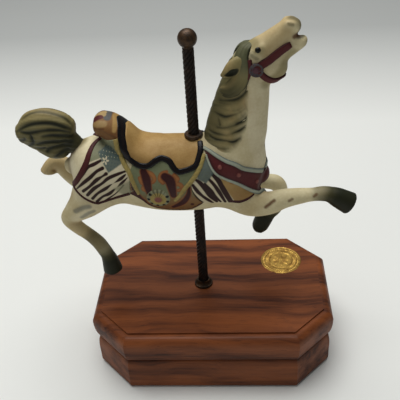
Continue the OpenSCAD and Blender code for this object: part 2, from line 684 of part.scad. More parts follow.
module coupling_screws() {
  color(steel) at_pole() for (z = coupling_screw_heights) translate([0, -rod_d / 2, z])
    rotate([90, 0, 0]) difference() {
      cylinder(d = coupling_screw_d, h = (coupling_d - rod_d) / 2);
      translate([-2, -0.15, (coupling_d - rod_d) / 2 - 0.5]) cube([4, 0.3, 1]);
    }
}

module output_shaft() {
  color(brass) at_pole() {
    rod(coupling_d, barrel_top, barrel_top + shaft_flange_t);
    rod(rod_d, barrel_top + shaft_flange_t - eps, coupling_mid);
  }
}

module spring_barrel() {
  color(brass) at_pole() difference() {
    rod(barrel_d, barrel_z, barrel_top);
    rod(barrel_d - 2 * barrel_wall, barrel_z - 1, barrel_top - barrel_wall);
  }
}

// Coiled steel strip between the arbor and the barrel's wall
module mainspring() {
  turns = 6;
  strip = 0.35;
  r0 = arbor_d / 2 + strip;
  r1 = barrel_d / 2 - barrel_wall - strip;
  steps = 120;
  function spiral(r_add, i) = let (a = 360 * turns * i / steps,
    r = r0 + (r1 - r0) * i / steps + r_add) [r * cos(a), r * sin(a)];
  color(steel) at_pole() translate([0, 0, barrel_z + 0.8])
    linear_extrude(height = barrel_h - barrel_wall - 1.6)
      polygon(concat([for (i = [0:steps]) spiral(-strip / 2, i)],
        [for (i = [steps:-1:0]) spiral(strip / 2, i)]));
}

// Face-toothed wheel: a raised rim with radial slots milled through it
module crown_wheel() {
  gap_half = 0.3;                         // half a slot's share of the pitch
  step = 360 / crown_teeth;
  color(brass) at_pole() difference() {
    rod(2 * crown_r, crown_z, barrel_z + crown_tooth_h);
    rod(2 * (crown_r - crown_rim), barrel_z, barrel_z + crown_tooth_h + 1);
    translate([0, 0, barrel_z]) linear_extrude(height = crown_tooth_h + 1)
      for (i = [0:crown_teeth - 1]) polygon([for (q = [[crown_r - crown_rim - 0.5, -gap_half],
        [crown_r + 1, -gap_half], [crown_r + 1, gap_half], [crown_r - crown_rim - 0.5, gap_half]])
          let (a = (i + q[1]) * step) [q[0] * cos(a), q[0] * sin(a)]]);
    rod(arbor_d + 2 * bearing_play, 0, base_h);
  }
}

module spring_arbor() {
  color(steel) at_pole() rod(arbor_d, board_z - 3.5, barrel_top - barrel_wall - 0.6);
}

module winding_key() {
  hub_d = arbor_d + 3;
  color(brass) at_pole() difference() {
    union() {
      rod(hub_d, board_z - 8, board_z - 0.8);
      translate([0, 0, board_z - 4.6]) rotate([90, 0, 0])
        linear_extrude(height = key_t, center = true) key_outline();
    }
    rod(arbor_d, board_z - 3.5, board_z);
  }
}

// Two round wings with holes, joined by a web under the hub
module key_outline() {
  lobe = key_h * 0.52;
  difference() {
    union() {
      for (s = [-1, 1]) translate([s * (key_w / 2 - lobe), -key_h + lobe]) circle(r = lobe);
      translate([-key_w / 2 + lobe, -key_h]) square([key_w - 2 * lobe, key_h * 0.75]);
    }
    for (s = [-1, 1]) translate([s * (key_w / 2 - lobe), -key_h + lobe]) circle(r = lobe * 0.4);
  }
}

// ---------- movement: bedplate, cylinder and comb ----------

// Screws that hold the bedplate to the bottom board, from the barrel's axis
module bed_screw_places() {
  for (p = [[bed_x0 + 4, bed_y0 + 4], [bed_x0 + 4, bed_y1 - 4], [bed_x1 - 4, bed_y0 + 4]])
    translate([p[0], p[1], 0]) children();
}

module comb_screw_places() {
  for (f = [0.22, 0.78]) translate([drum_x + drum_l * f, comb_back_y + rail_w * 0.45, 0]) children();
}

module post_screw_places() {
  for (x = [post_a_x, post_b_x], s = [-1, 1])
    translate([x + post_t / 2, s * (post_w + post_foot + 0.8) / 4, 0]) children();
}

foot_l = 5.4;
governor_screw_y = worm_axis_y + fan_span / 2 + 0.8 + foot_l * 0.6;

module bedplate() {
  color(zinc) at_pole() difference() {
    union() {
      translate([(bed_x0 + bed_x1) / 2, (bed_y0 + bed_y1) / 2, bed_z])
        slab(bed_x1 - bed_x0, bed_y1 - bed_y0, 4, bed_t);
      rod(arbor_d + 4, bed_top - eps, crown_z - 0.1);
      translate([drum_x - 1, comb_back_y, bed_top - eps])
        cube([drum_l + 2, rail_w, comb_z - bed_top + eps]);
    }
    translate([drum_x - 0.3, -drum_d / 2 - 1.6, 0]) cube([drum_l + 2.2, drum_d + 3.2, base_h]);
    rod(arbor_d + 2 * bearing_play, 0, base_h);
    bed_screw_places() cylinder(d = screw_d, h = base_h);
    comb_screw_places() translate([0, 0, comb_z - 4]) cylinder(d = screw_d, h = 10);
    post_screw_places() cylinder(d = 1.6, h = base_h);
    translate([worm_axis_x, worm_axis_y, bed_top - 1]) cylinder(d = pivot_d + 2 * bearing_play, h = 3);
    translate([worm_axis_x, governor_screw_y, 0]) cylinder(d = 1.6, h = base_h);
  }
}

module bedplate_screws() {
  color(steel) at_pole() bed_screw_places() translate([0, 0, board_z]) screw_up(screw_d, bottom_t + 2);
}

module music_cylinder() {
  color(brass) at_pole() translate([0, 0, drum_z]) difference() {
    union() {
      shaft_x(drum_d, drum_x, drum_end);
      for (t = [0:comb_teeth - 1], p = [0:pins_per_track - 1])
        translate([drum_x + (t + 0.5) * track, 0, 0])
          rotate([20 + 360 * p / pins_per_track + t * 47, 0, 0])
            translate([0, 0, drum_d / 2 - 0.3]) cylinder(d = pin_d, h = pin_h + 0.3, $fn = 16);
    }
    shaft_x(drum_arbor_d, drum_x - 1, drum_end + 1);
  }
}

module cylinder_arbor() {
  color(steel) at_pole() translate([0, 0, drum_z]) shaft_x(drum_arbor_d, pinion_x, post_b_x + post_t + 1);
}

module cylinder_pinion() {
  color(brass) at_pole() translate([pinion_x, 0, drum_z]) rotate([0, 90, 0]) difference() {
    union() {
      linear_extrude(height = crown_rim) gear_outline(drum_pinion_teeth, drum_pinion_r, 0.5, 0.75);
      translate([0, 0, crown_rim - eps]) cylinder(d = 4, h = post_a_x - crown_r - 0.3 + eps);
    }
    translate([0, 0, -1]) cylinder(d = drum_arbor_d, h = 10);
  }
}

module cylinder_wheel() {
  color(brass) at_pole() translate([wheel_x, 0, drum_z]) rotate([0, 90, 0]) difference() {
    rotate([0, 0, 90]) linear_extrude(height = drum_wheel_t)
      gear_outline(drum_wheel_teeth, train_m * drum_wheel_teeth / 2, 0.75 * train_m, 1.1 * train_m);
    translate([0, 0, -1]) cylinder(d = drum_arbor_d, h = 10);
  }
}

// Upright bearing posts at both ends of the cylinder, each with two feet
module cylinder_posts() {
  color(zinc) at_pole() for (x = [post_a_x, post_b_x]) difference() {
    translate([x, 0, 0]) {
      translate([0, -post_w / 2, bed_top]) cube([post_t, post_w, drum_z - bed_top]);
      translate([0, -post_foot / 2, bed_top]) cube([post_t, post_foot, 1.6]);
      translate([0, 0, drum_z]) shaft_x(post_w, 0, post_t);
    }
    translate([0, 0, drum_z]) shaft_x(drum_arbor_d + 2 * bearing_play, x - 1, x + post_t + 1);
    post_screw_places() cylinder(d = 1.6, h = base_h);
  }
}

module post_screws() {
  color(steel) at_pole() post_screw_places() translate([0, 0, bed_top + 1.6]) screw_down(1.6, 1.6 + bed_t - 0.3);
}

// Steel comb: a solid back and teeth that grow shorter towards the treble end
module comb() {
  color(steel) at_pole() difference() {
    translate([drum_x, comb_back_y, comb_z]) cube([drum_l, comb_tip_y - comb_back_y, comb_t]);
    for (i = [1:comb_teeth - 1]) let (l = comb_long + (comb_short - comb_long) * i / comb_teeth)
      translate([drum_x + i * track - comb_slot / 2, comb_tip_y - l, comb_z - 1])
        cube([comb_slot, l + 1, comb_t + 2]);
    // the tips are ground thinner than the back
    translate([drum_x - 1, comb_tip_y - 4, comb_z + comb_t * 0.6]) cube([drum_l + 2, 5, comb_t]);
    comb_screw_places() cylinder(d = screw_d + 0.3, h = base_h);
  }
}

module comb_screws() {
  color(steel) at_pole() comb_screw_places() translate([0, 0, comb_z + comb_t]) screw_down(screw_d, comb_t + 3);
}

// ---------- movement: governor ----------

frame_x0 = worm_axis_x - worm_r - 0.3 - frame_t;
frame_x1 = gov_end;

// Bent-up steel frame: two cheeks for the wheel's arbor, and a tall back that
// carries the bridge over the worm and its fan
module governor_frame() {
  back_y = worm_axis_y + fan_span / 2 + 0.8;
  cheek_top = drum_z + 3;
  color(zinc) at_pole() difference() {
    union() {
      for (x = [frame_x0, frame_x1 - frame_t])
        translate([x, gov_y - 2.6, bed_top]) cube([frame_t, back_y - gov_y + 2.6 + eps, cheek_top - bed_top]);
      translate([frame_x0, back_y, bed_top]) cube([frame_x1 - frame_x0, frame_t, frame_top - bed_top]);
      translate([frame_x0, back_y, bed_top]) cube([frame_x1 - frame_x0, foot_l, frame_t]);
      translate([worm_axis_x - 2, worm_axis_y - 1.8, frame_top - frame_t])
        cube([4, back_y - worm_axis_y + 1.8 + eps, frame_t]);
    }
    translate([0, gov_y, drum_z]) shaft_x(gov_arbor_d + 2 * bearing_play, frame_x0 - 1, frame_x1 + 1);
    translate([worm_axis_x, worm_axis_y, frame_top - 2]) cylinder(d = pivot_d + 2 * bearing_play, h = 4);
    translate([worm_axis_x, governor_screw_y, 0]) cylinder(d = 1.6, h = bed_top + 4);
  }
}

gov_arbor_d = 1.2;
pivot_d = 1;

module governor_screws() {
  color(steel) at_pole() translate([worm_axis_x, governor_screw_y, bed_top + frame_t])
    screw_down(1.6, frame_t + bed_t - 0.3);
}

module governor_arbor() {
  color(steel) at_pole() translate([0, gov_y, drum_z]) shaft_x(gov_arbor_d, wheel_x - 0.6, frame_x1 + 0.4);
}

module governor_pinion() {
  color(brass) at_pole() translate([wheel_x, gov_y, drum_z]) rotate([0, 90, 0]) difference() {
    rotate([0, 0, 270 + 180 / gov_pinion_teeth]) linear_extrude(height = drum_wheel_t)
      gear_outline(gov_pinion_teeth, train_m * gov_pinion_teeth / 2, 0.75 * train_m, 1.1 * train_m);
    translate([0, 0, -1]) cylinder(d = gov_arbor_d, h = 10);
  }
}

module governor_wheel() {
  color(brass) at_pole() translate([worm_wheel_x, gov_y, drum_z]) rotate([0, 90, 0]) difference() {
    rotate([0, 0, 90 + 180 / worm_wheel_teeth]) linear_extrude(height = worm_wheel_t)
      gear_outline(worm_wheel_teeth, worm_wheel_r, worm_wheel_add, 0.6);
    translate([0, 0, -1]) cylinder(d = gov_arbor_d, h = 10);
  }
}

// Upright endless screw: an offset circle carried round a helix makes its thread
module governor_worm() {
  color(steel) at_pole() translate([worm_axis_x, worm_axis_y, 0]) {
    translate([0, 0, worm_z0]) rotate([0, 0, 270 - 180 * worm_l / worm_lead])
      linear_extrude(height = worm_l, twist = -360 * worm_l / worm_lead,
        slices = ceil(12 * worm_l / worm_lead), $fn = 8)
          translate([thread_lift, 0]) circle(r = worm_r - thread_lift, $fn = 12);
    rod(pivot_d, bed_top - 0.9, frame_top + 0.3);
  }
}

module air_brake() {
  color(brass) at_pole() translate([worm_axis_x, worm_axis_y, 0]) difference() {
    union() {
      rod(2.6, fan_z - 0.2, frame_top - frame_t - 0.4);
      translate([-fan_span / 2, -0.2, fan_z]) cube([fan_span, 0.4, fan_h]);
    }
    rod(pivot_d, 0, base_h);
  }
}

base_top_board();
base_plinth();
bottom_board();
board_screws();
seal_disc();
pole_ferrule();
pole_bush();
pole_rod();
lower_sleeve();
upper_sleeve();
ball_finial();
saddle_collar();
horse();
shaft_coupling();
coupling_screws();
output_shaft();
spring_barrel();
mainspring();
crown_wheel();
spring_arbor();
winding_key();
bedplate();
bedplate_screws();
music_cylinder();
cylinder_arbor();
cylinder_pinion();
cylinder_wheel();
cylinder_posts();
post_screws();
comb();
comb_screws();
governor_frame();
governor_screws();
governor_wheel();
governor_pinion();
governor_arbor();
governor_worm();
air_brake();
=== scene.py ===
import logging
import math
from dataclasses import dataclass, field
from enum import Enum
from typing import Any, Callable, Sequence

import bpy
import numpy as np
from mathutils import Matrix, Vector


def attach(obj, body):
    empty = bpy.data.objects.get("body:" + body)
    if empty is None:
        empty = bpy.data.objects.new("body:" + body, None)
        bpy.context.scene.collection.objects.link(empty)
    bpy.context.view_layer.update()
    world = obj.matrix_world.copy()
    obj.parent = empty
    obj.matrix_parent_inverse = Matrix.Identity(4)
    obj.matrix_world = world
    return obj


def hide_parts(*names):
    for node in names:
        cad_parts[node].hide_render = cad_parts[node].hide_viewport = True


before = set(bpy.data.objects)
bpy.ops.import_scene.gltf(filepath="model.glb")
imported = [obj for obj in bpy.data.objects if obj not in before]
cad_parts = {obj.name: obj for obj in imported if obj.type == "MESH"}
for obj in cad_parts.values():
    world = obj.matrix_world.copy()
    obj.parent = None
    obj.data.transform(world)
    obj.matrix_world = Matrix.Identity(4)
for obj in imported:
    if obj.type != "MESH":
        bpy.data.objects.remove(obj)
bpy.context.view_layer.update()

log = logging.getLogger("music_box")
Array = np.ndarray
Curve = Sequence[Sequence[float]]
MM = 0.001                                  # metres in a millimetre
POLE_X = -6.4                               # pole axis along the base, mm
BELLY_Z = 123.8                             # height of the horse's belly line, mm
FAR = 20.0                                  # distance held where no limb reaches, mm
SIDES = (1, -1)                             # the near side as written, and its mirror image


class Paint(Enum):
    """Colours of the horse's painter, as eight-bit red, green and blue."""

    IVORY = (210, 199, 160)
    CREAM = (222, 212, 178)
    HONEY = (176, 152, 104)
    KHAKI = (136, 126, 84)
    OLIVE = (70, 68, 42)
    MOSS = (38, 40, 24)
    HOOF = (33, 35, 19)
    UMBER = (98, 62, 36)
    SADDLE = (168, 136, 82)
    CANTLE = (128, 92, 52)
    BLACK = (16, 15, 17)
    BURGUNDY = (84, 32, 33)
    WINE = (58, 24, 24)
    ROSE = (128, 76, 68)
    RUST = (136, 80, 46)
    BLUE = (158, 164, 146)
    TEAL = (74, 92, 88)
    SLATE = (70, 84, 90)
    LEMON = (160, 142, 82)
    CLOTH = (132, 134, 106)
    STRIPE = (44, 22, 20)
    CHALK = (208, 198, 168)
    EYE = (14, 15, 12)
    PLUM = (84, 54, 62)
    DUN = (150, 134, 90)
    FERN = (92, 94, 68)
    CELADON = (114, 120, 90)
    AMBER = (156, 104, 58)

    @property
    def rgb(self) -> Array:
        """The colour in linear light."""
        return linear(self.value)


def linear(rgb: Sequence[float]) -> Array:
    """Turns an eight-bit display colour into linear light by the sRGB curve.

    Args:
        rgb: Red, green and blue from 0 to 255.

    Returns:
        Three linear values from 0 to 1.
    """
    c = np.asarray(rgb, float) / 255.0
    return np.where(c <= 0.04045, c / 12.92, ((c + 0.055) / 1.055) ** 2.4)


# ---------------------------------------------------------------- curves and fields


def through(stations: Curve, steps: int) -> Array:
    """Smooth curve through stations: a cubic between each pair, its slope at a station
    half the step from the station before to the one after.

    Args:
        stations: Rows of any number of values.
        steps: Points in each span.

    Returns:
        The stations with the points between them, one row each.
    """
    s = np.asarray(stations, float)
    padded = np.vstack([s[:1], s, s[-1:]])
    n = len(s) - 1
    a, b, c, d = (padded[i:i + n][:, None, :] for i in range(4))
    t = np.linspace(0.0, 1.0, steps, endpoint=False)[None, :, None]
    curve = 0.5 * (2 * b + (c - a) * t + (2 * a - 5 * b + 4 * c - d) * t**2
                   + (3 * b - a - 3 * c + d) * t**3)
    return np.vstack([curve.reshape(-1, s.shape[1]), s[-1:]])


def even(stations: Curve, rows: int) -> Array:
    """The smooth curve through stations, cut into equal lengths.

    Args:
        stations: Rows that start with x, y and z.
        rows: Points wanted.

    Returns:
        One row for each point.
    """
    c = through(stations, 12)
    length = np.concatenate([[0.0], np.cumsum(np.linalg.norm(np.diff(c[:, :3], axis=0), axis=1))])
    at = np.linspace(0.0, length[-1], rows)
    return np.stack([np.interp(at, length, c[:, k]) for k in range(c.shape[1])], 1)


def smooth_min(a: Array, b: Array, k: float) -> Array:
    """The lesser of two fields, with a fillet of width k where they meet."""
    h = np.maximum(k - np.abs(a - b), 0.0) / k
    return np.minimum(a, b) - h * h * k / 4


def ease(x: Array, low: float, high: float) -> Array:
    """Goes from 0 at low to 1 at high along 3t^2 - 2t^3."""
    t = np.clip((x - low) / (high - low), 0.0, 1.0)
    return t * t * (3 - 2 * t)


def far_from(points: Array, path: Curve) -> Array:
    """Distance of each point from a smooth stroke: from the nearest piece of its middle,
    less half its width there.

    Args:
        points: Places, in rows.
        path: Rows of x, y and z, with the stroke's width after them if it has one.

    Returns:
        The distances, below zero in the stroke.
    """
    c = through(path, 4) if len(path) > 1 else np.asarray(path, float).repeat(2, 0)
    half = c[:, 3] / 2 if c.shape[1] > 3 else np.zeros(len(c))
    best = np.full(len(points), 1e9)
    for i in range(len(c) - 1):
        p, d = c[i, :3], c[i + 1, :3] - c[i, :3]
        t = np.clip((points - p) @ d / max(d @ d, 1e-9), 0.0, 1.0)
        apart = np.linalg.norm(points - p - t[:, None] * d, axis=1)
        best = np.minimum(best, apart - half[i] - t * (half[i + 1] - half[i]))
    return best


def unit_grid(rows: int, cols: int, start: float = 0.0) -> tuple[Array, Array]:
    """Two grids of values: from 0 to 1 down the rows, and from start to 1 across."""
    return np.meshgrid(np.linspace(0, 1, rows), np.linspace(start, 1, cols), indexing="ij")


def disc(size: int) -> tuple[Array, Array, Array, Array]:
    """A square grid drawn into a disc: x by the root of 1 - y^2/2, y by that of 1 - x^2/2.

    Args:
        size: Points on a side of the grid.

    Returns:
        Grids of x, y, the radius and the angle, on a disc of radius 1.
    """
    g = np.linspace(-1, 1, size)
    x, y = np.meshgrid(g, g, indexing="ij")
    x, y = x * np.sqrt(1 - y * y / 2), y * np.sqrt(1 - x * x / 2)
    return x, y, np.hypot(x, y), np.arctan2(y, x)


def mirrored(path: Curve) -> list[list[float]]:
    """A path's mirror image on the other side, run backwards, without the points on the
    middle plane."""
    return [[p[0], -p[1], *p[2:]] for p in reversed(path) if p[1]]


def widened(path: Curve, *widths: float) -> list[list[float]]:
    """A path with a width for each of its points: the widths given are spread evenly."""
    at = np.interp(np.linspace(0, 1, len(path)), np.linspace(0, 1, len(widths)), widths)
    return [[*p[:3], float(w)] for p, w in zip(path, at)]


class Clay:
    """A modelled form held as distances to its surface on a regular grid, in mm."""

    def __init__(self, low: Sequence[float], high: Sequence[float], step: float) -> None:
        """Makes an empty block of space.

        Args:
            low: Its lowest corner.
            high: Its highest corner.
            step: Distance between grid points.
        """
        self.low = np.asarray(low, float)
        self.step = step
        count = np.ceil((np.asarray(high, float) - self.low) / step).astype(int) + 1
        self.axes = [self.low[i] + step * np.arange(count[i]) for i in range(3)]
        self.values = np.full(count, FAR, np.float32)

    def window(self, low: Array, high: Array) -> tuple[slice, ...]:
        """The grid's slices that hold a box."""
        cut = []
        for i in range(3):
            a = int(np.floor((low[i] - self.low[i]) / self.step))
            b = int(np.ceil((high[i] - self.low[i]) / self.step)) + 1
            cut.append(slice(max(a, 0), min(max(b, 0), len(self.axes[i]))))
        return tuple(cut)

    def limb(self, stations: Curve, margin: float, dome: float = 0.8
             ) -> tuple[tuple[slice, ...], Array]:
        """Distance to a limb lofted through ellipses that stand across its path in XZ.
        Between two stations a point lies at the share of the way given by its distances
        to their two planes; its offset from the path there, divided by the ellipse's
        half height and half width, gives how far out it is.

        Args:
            stations: Rows of x, y, z, half height and half width.
            margin: How far beyond the surface the field reaches.
            dome: Length of the rounded ends as a share of the half height.

        Returns:
            The slices of the grid that it fills, and the distances there.
        """
        s = through(stations, 5)
        heading = np.gradient(s[:, [0, 2]], axis=0)
        heading /= np.maximum(np.linalg.norm(heading, axis=1, keepdims=True), 1e-9)
        reach = s[:, 3:5].max(1)[:, None] + margin
        whole = self.window((s[:, :3] - reach).min(0), (s[:, :3] + reach).max(0))
        out = np.full([c.stop - c.start for c in whole], FAR, np.float32)
        last = len(s) - 2
        for i in range(last + 1):
            p, q = s[i], s[i + 1]
            r = max(reach[i, 0], reach[i + 1, 0])
            part = self.window(np.minimum(p[:3], q[:3]) - r, np.maximum(p[:3], q[:3]) + r)
            part = tuple(slice(max(a.start, b.start), min(a.stop, b.stop))
                         for a, b in zip(part, whole))
            x, y, z = np.ix_(*(self.axes[k][part[k]].astype(np.float32) for k in range(3)))
            w0 = (x - p[0]) * heading[i, 0] + (z - p[2]) * heading[i, 1]
            w1 = (x - q[0]) * heading[i + 1, 0] + (z - q[2]) * heading[i + 1, 1]
            held = (w0 >= 0) & (w1 <= 0)
            if i == 0:
                held |= (w0 < 0) & (w0 > w1)
            if i == last:
                held |= (w1 > 0) & (w0 > w1)
            t = np.clip(w0 / np.maximum(w0 - w1, 1e-6), 0.0, 1.0)
            ox, oy, oz = (c - p[k] - t * (q[k] - p[k]) for k, c in enumerate((x, y, z)))
            hx = heading[i, 0] + t * (heading[i + 1, 0] - heading[i, 0])
            hz = heading[i, 1] + t * (heading[i + 1, 1] - heading[i, 1])
            n = np.sqrt(hx * hx + hz * hz) + 1e-9
            tall = p[3] + t * (q[3] - p[3])
            wide = p[4] + t * (q[4] - p[4])
            u, w = (oz * hx - ox * hz) / n, (ox * hx + oz * hz) / n
            size = np.sqrt(ox * ox + oy * oy + oz * oz + 1e-6)
            ratio = np.sqrt((u / tall)**2 + (oy / wide)**2 + (w / (tall * dome))**2 + 1e-6)
            here = tuple(slice(part[k].start - whole[k].start, part[k].stop - whole[k].start)
                         for k in range(3))
            out[here] = np.minimum(out[here], np.where(held, size - size / ratio, FAR))
        return whole, out

    def add(self, stations: Curve, blend: float, dome: float = 0.8) -> None:
        """Joins a limb to the form with a fillet of width blend."""
        whole, dist = self.limb(stations, blend + 8.0, dome)
        self.values[whole] = smooth_min(self.values[whole], dist, blend)

    def carve(self, stations: Curve, blend: float) -> None:
        """Cuts a limb out of the form, with its edge rounded by blend."""
        whole, dist = self.limb(stations, blend + 3.0)
        self.values[whole] = -smooth_min(-self.values[whole], dist, blend)

    def soften(self, rounds: int) -> None:
        """Averages each value with its neighbours, weighted 1, 2, 1 along each axis."""
        for axis in list(range(3)) * rounds:
            v = np.moveaxis(self.values, axis, 0)
            v[1:-1] = (v[:-2] + 2 * v[1:-1] + v[2:]) / 4

    def at(self, points: Array) -> Array:
        """Distance at any points, linear between the grid's."""
        g = (np.asarray(points) - self.low) / self.step
        i = np.clip(np.floor(g).astype(int), 0, np.array(self.values.shape) - 2)
        f = np.clip(g - i, 0.0, 1.0)
        total = 0.0
        for corner in np.ndindex(2, 2, 2):
            weight = np.prod(np.where(corner, f, 1 - f), axis=-1)
            j = i + corner
            total = total + weight * self.values[j[..., 0], j[..., 1], j[..., 2]]
        return total

    def normal(self, points: Array) -> Array:
        """Outward direction at any points, from differences along the three axes."""
        p = np.asarray(points, float)
        g = np.stack([self.at(p + self.step * e) - self.at(p - self.step * e)
                      for e in np.eye(3)], -1)
        return g / np.maximum(np.linalg.norm(g, axis=-1, keepdims=True), 1e-9)

    def settle(self, points: Array, lift: Any = 0.0, rounds: int = 6) -> Array:
        """Moves points along the form's normals until they stand at a height above it.

        Args:
            points: Places near the surface.
            lift: One height, or one for each point.
            rounds: Steps taken.

        Returns:
            The moved points.
        """
        p = np.array(points, float)
        for _ in range(rounds):
            p -= self.normal(p) * (np.clip(self.at(p), -4, 4) - lift)[..., None]
        return p

    def land(self, points: Array, heading: Array, rounds: int = 40) -> Array:
        """Moves points from outside along a heading until they meet the form.

        Args:
            points: Places outside the form.
            heading: The way that they go, of length 1.
            rounds: Steps taken, each eight tenths of the distance and 3 mm at most.

        Returns:
            The points where they landed.
        """
        p = np.array(points, float)
        for _ in range(rounds):
            p += heading * np.clip(0.8 * self.at(p), -1.0, 3.0)[..., None]
        return p

    def skin(self) -> tuple[Array, Array]:
        """The surface as a mesh: one point in each cell that the surface crosses, at the
        mean of where it crosses the cell's edges, and one face for each crossed edge of
        the grid, joining the four cells round it.

        Returns:
            The points and the faces of four corners.
        """
        inside = self.values < 0
        nx, ny, nz = inside.shape
        corners = list(np.ndindex(2, 2, 2))
        count = sum(inside[i:nx - 1 + i, j:ny - 1 + j, k:nz - 1 + k].astype(np.int8)
                    for i, j, k in corners)
        cells = np.argwhere((count > 0) & (count < 8))
        number = np.full((nx - 1, ny - 1, nz - 1), -1)
        number[tuple(cells.T)] = np.arange(len(cells))
        total, hits = np.zeros((len(cells), 3)), np.zeros(len(cells))
        for axis in range(3):
            for c in corners:
                if c[axis]:
                    continue
                d = list(c)
                d[axis] = 1
                v0 = self.values[tuple((cells + c).T)].astype(float)
                v1 = self.values[tuple((cells + d).T)].astype(float)
                cross = (v0 < 0) != (v1 < 0)
                point = np.broadcast_to(np.array(c, float), (len(cells), 3)).copy()
                point[:, axis] = np.where(cross, v0 / np.where(cross, v0 - v1, 1.0), 0.0)
                total += point * cross[:, None]
                hits += cross
        points = self.low + (cells + total / hits[:, None]) * self.step
        faces = []
        for axis in range(3):
            b, c = (axis + 1) % 3, (axis + 2) % 3
            first = [slice(1, n - 1) for n in inside.shape]
            first[axis] = slice(0, inside.shape[axis] - 1)
            second = list(first)
            second[axis] = slice(1, inside.shape[axis])
            start = inside[tuple(first)]
            change = np.argwhere(start != inside[tuple(second)])
            base = change + [0 if k == axis else 1 for k in range(3)]
            ring = []
            for db, dc in ((-1, -1), (0, -1), (0, 0), (-1, 0)):
                cell = base.copy()
                cell[:, b] += db
                cell[:, c] += dc
                ring.append(number[tuple(cell.T)])
            quad = np.stack(ring, 1)
            faces.append(np.where(start[tuple(change.T)][:, None], quad, quad[:, ::-1]))
        return points, np.vstack(faces)


# ---------------------------------------------------------------- meshes


@dataclass
class Shell:
    """A closed surface of four-cornered faces, with values at its points.

    Attributes:
        points: Places in mm.
        faces: Four point numbers each.
        paint: Linear colour at each point.
        uv: Place of each point along and across the piece.
    """

    points: Array
    faces: Array
    paint: Array
    uv: Array

    @staticmethod
    def slab(top: Array, bottom: Array, paint: Array) -> "Shell":
        """A shell between two grids of points, closed round its four sides.

        Args:
            top: Outer grid, rows by columns by three.
            bottom: Inner grid of the same size.
            paint: Colour at each point of the outer grid.

        Returns:
            The closed shell.
        """
        rows, cols = top.shape[:2]
        n = rows * cols
        i = np.arange(n).reshape(rows, cols)
        grid = np.stack([i[:-1, :-1], i[1:, :-1], i[1:, 1:], i[:-1, 1:]], -1).reshape(-1, 4)
        rim = np.concatenate([i[:-1, 0], i[-1, :-1], i[:0:-1, -1], i[0, :0:-1]])
        after = np.roll(rim, -1)
        side = np.stack([rim + n, after + n, after, rim], 1)
        u, v = unit_grid(rows, cols)
        uv = np.stack([u, v], -1).reshape(-1, 2)
        colour = np.broadcast_to(paint, top.shape).reshape(-1, 3)
        shell = Shell(np.concatenate([top.reshape(-1, 3), bottom.reshape(-1, 3)]),
                      np.concatenate([grid, grid[:, ::-1] + n, side]),
                      np.concatenate([colour, colour]), np.concatenate([uv, uv]))
        return shell.outward()

    @staticmethod
    def joined(parts: Sequence["Shell"]) -> "Shell":
        """Several shells as one piece."""
        start = np.cumsum([0] + [len(p.points) for p in parts[:-1]])
        return Shell(np.concatenate([p.points for p in parts]),
                     np.concatenate([p.faces + s for p, s in zip(parts, start)]),
                     np.concatenate([p.paint for p in parts]),
                     np.concatenate([p.uv for p in parts]))

    def outward(self) -> "Shell":
        """Turns every face if the volume that they enclose comes out negative."""
        a, b, c, d = (self.points[self.faces[:, k]] for k in range(4))
        volume = np.einsum("ij,ij->", a, np.cross(b, c)) + np.einsum("ij,ij->", a, np.cross(c, d))
        if volume < 0:
            self.faces = self.faces[:, ::-1]
        return self

    def piece(self, name: str, material: bpy.types.Material, body: str, slot: str,
              replaces: Sequence[str] = ()) -> bpy.types.Object:
        """Makes the Blender object.

        Args:
            name: Name of the piece.
            material: Its finish.
            body: CAD body that it moves with.
            slot: Material slot of the record; not used.
            replaces: CAD nodes that it stands for.

        Returns:
            The object, with its place in its mesh.
        """
        mesh = bpy.data.meshes.new(name)
        mesh.from_pydata((self.points * MM).tolist(), [], self.faces.tolist())
        mesh.polygons.foreach_set("use_smooth", np.ones(len(mesh.polygons), bool))
        colour = mesh.attributes.new("paint", "FLOAT_COLOR", "POINT")
        rgba = np.concatenate([self.paint, np.ones((len(self.paint), 1))], 1)
        colour.data.foreach_set("color", rgba.astype(np.float32).ravel())
        corner = np.zeros(len(mesh.loops), np.int32)
        mesh.loops.foreach_get("vertex_index", corner)
        layer = mesh.uv_layers.new(name="lay")
        layer.data.foreach_set("uv", self.uv[corner].astype(np.float32).ravel())
        mesh.materials.append(material)
        piece = bpy.data.objects.new(name, mesh)
        bpy.context.scene.collection.objects.link(piece)
        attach(piece, body)
        if replaces:
            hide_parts(*replaces)
        log.info("%s: %d points, %d faces", name, len(self.points), len(self.faces))
        return piece


# ---------------------------------------------------------------- finishes


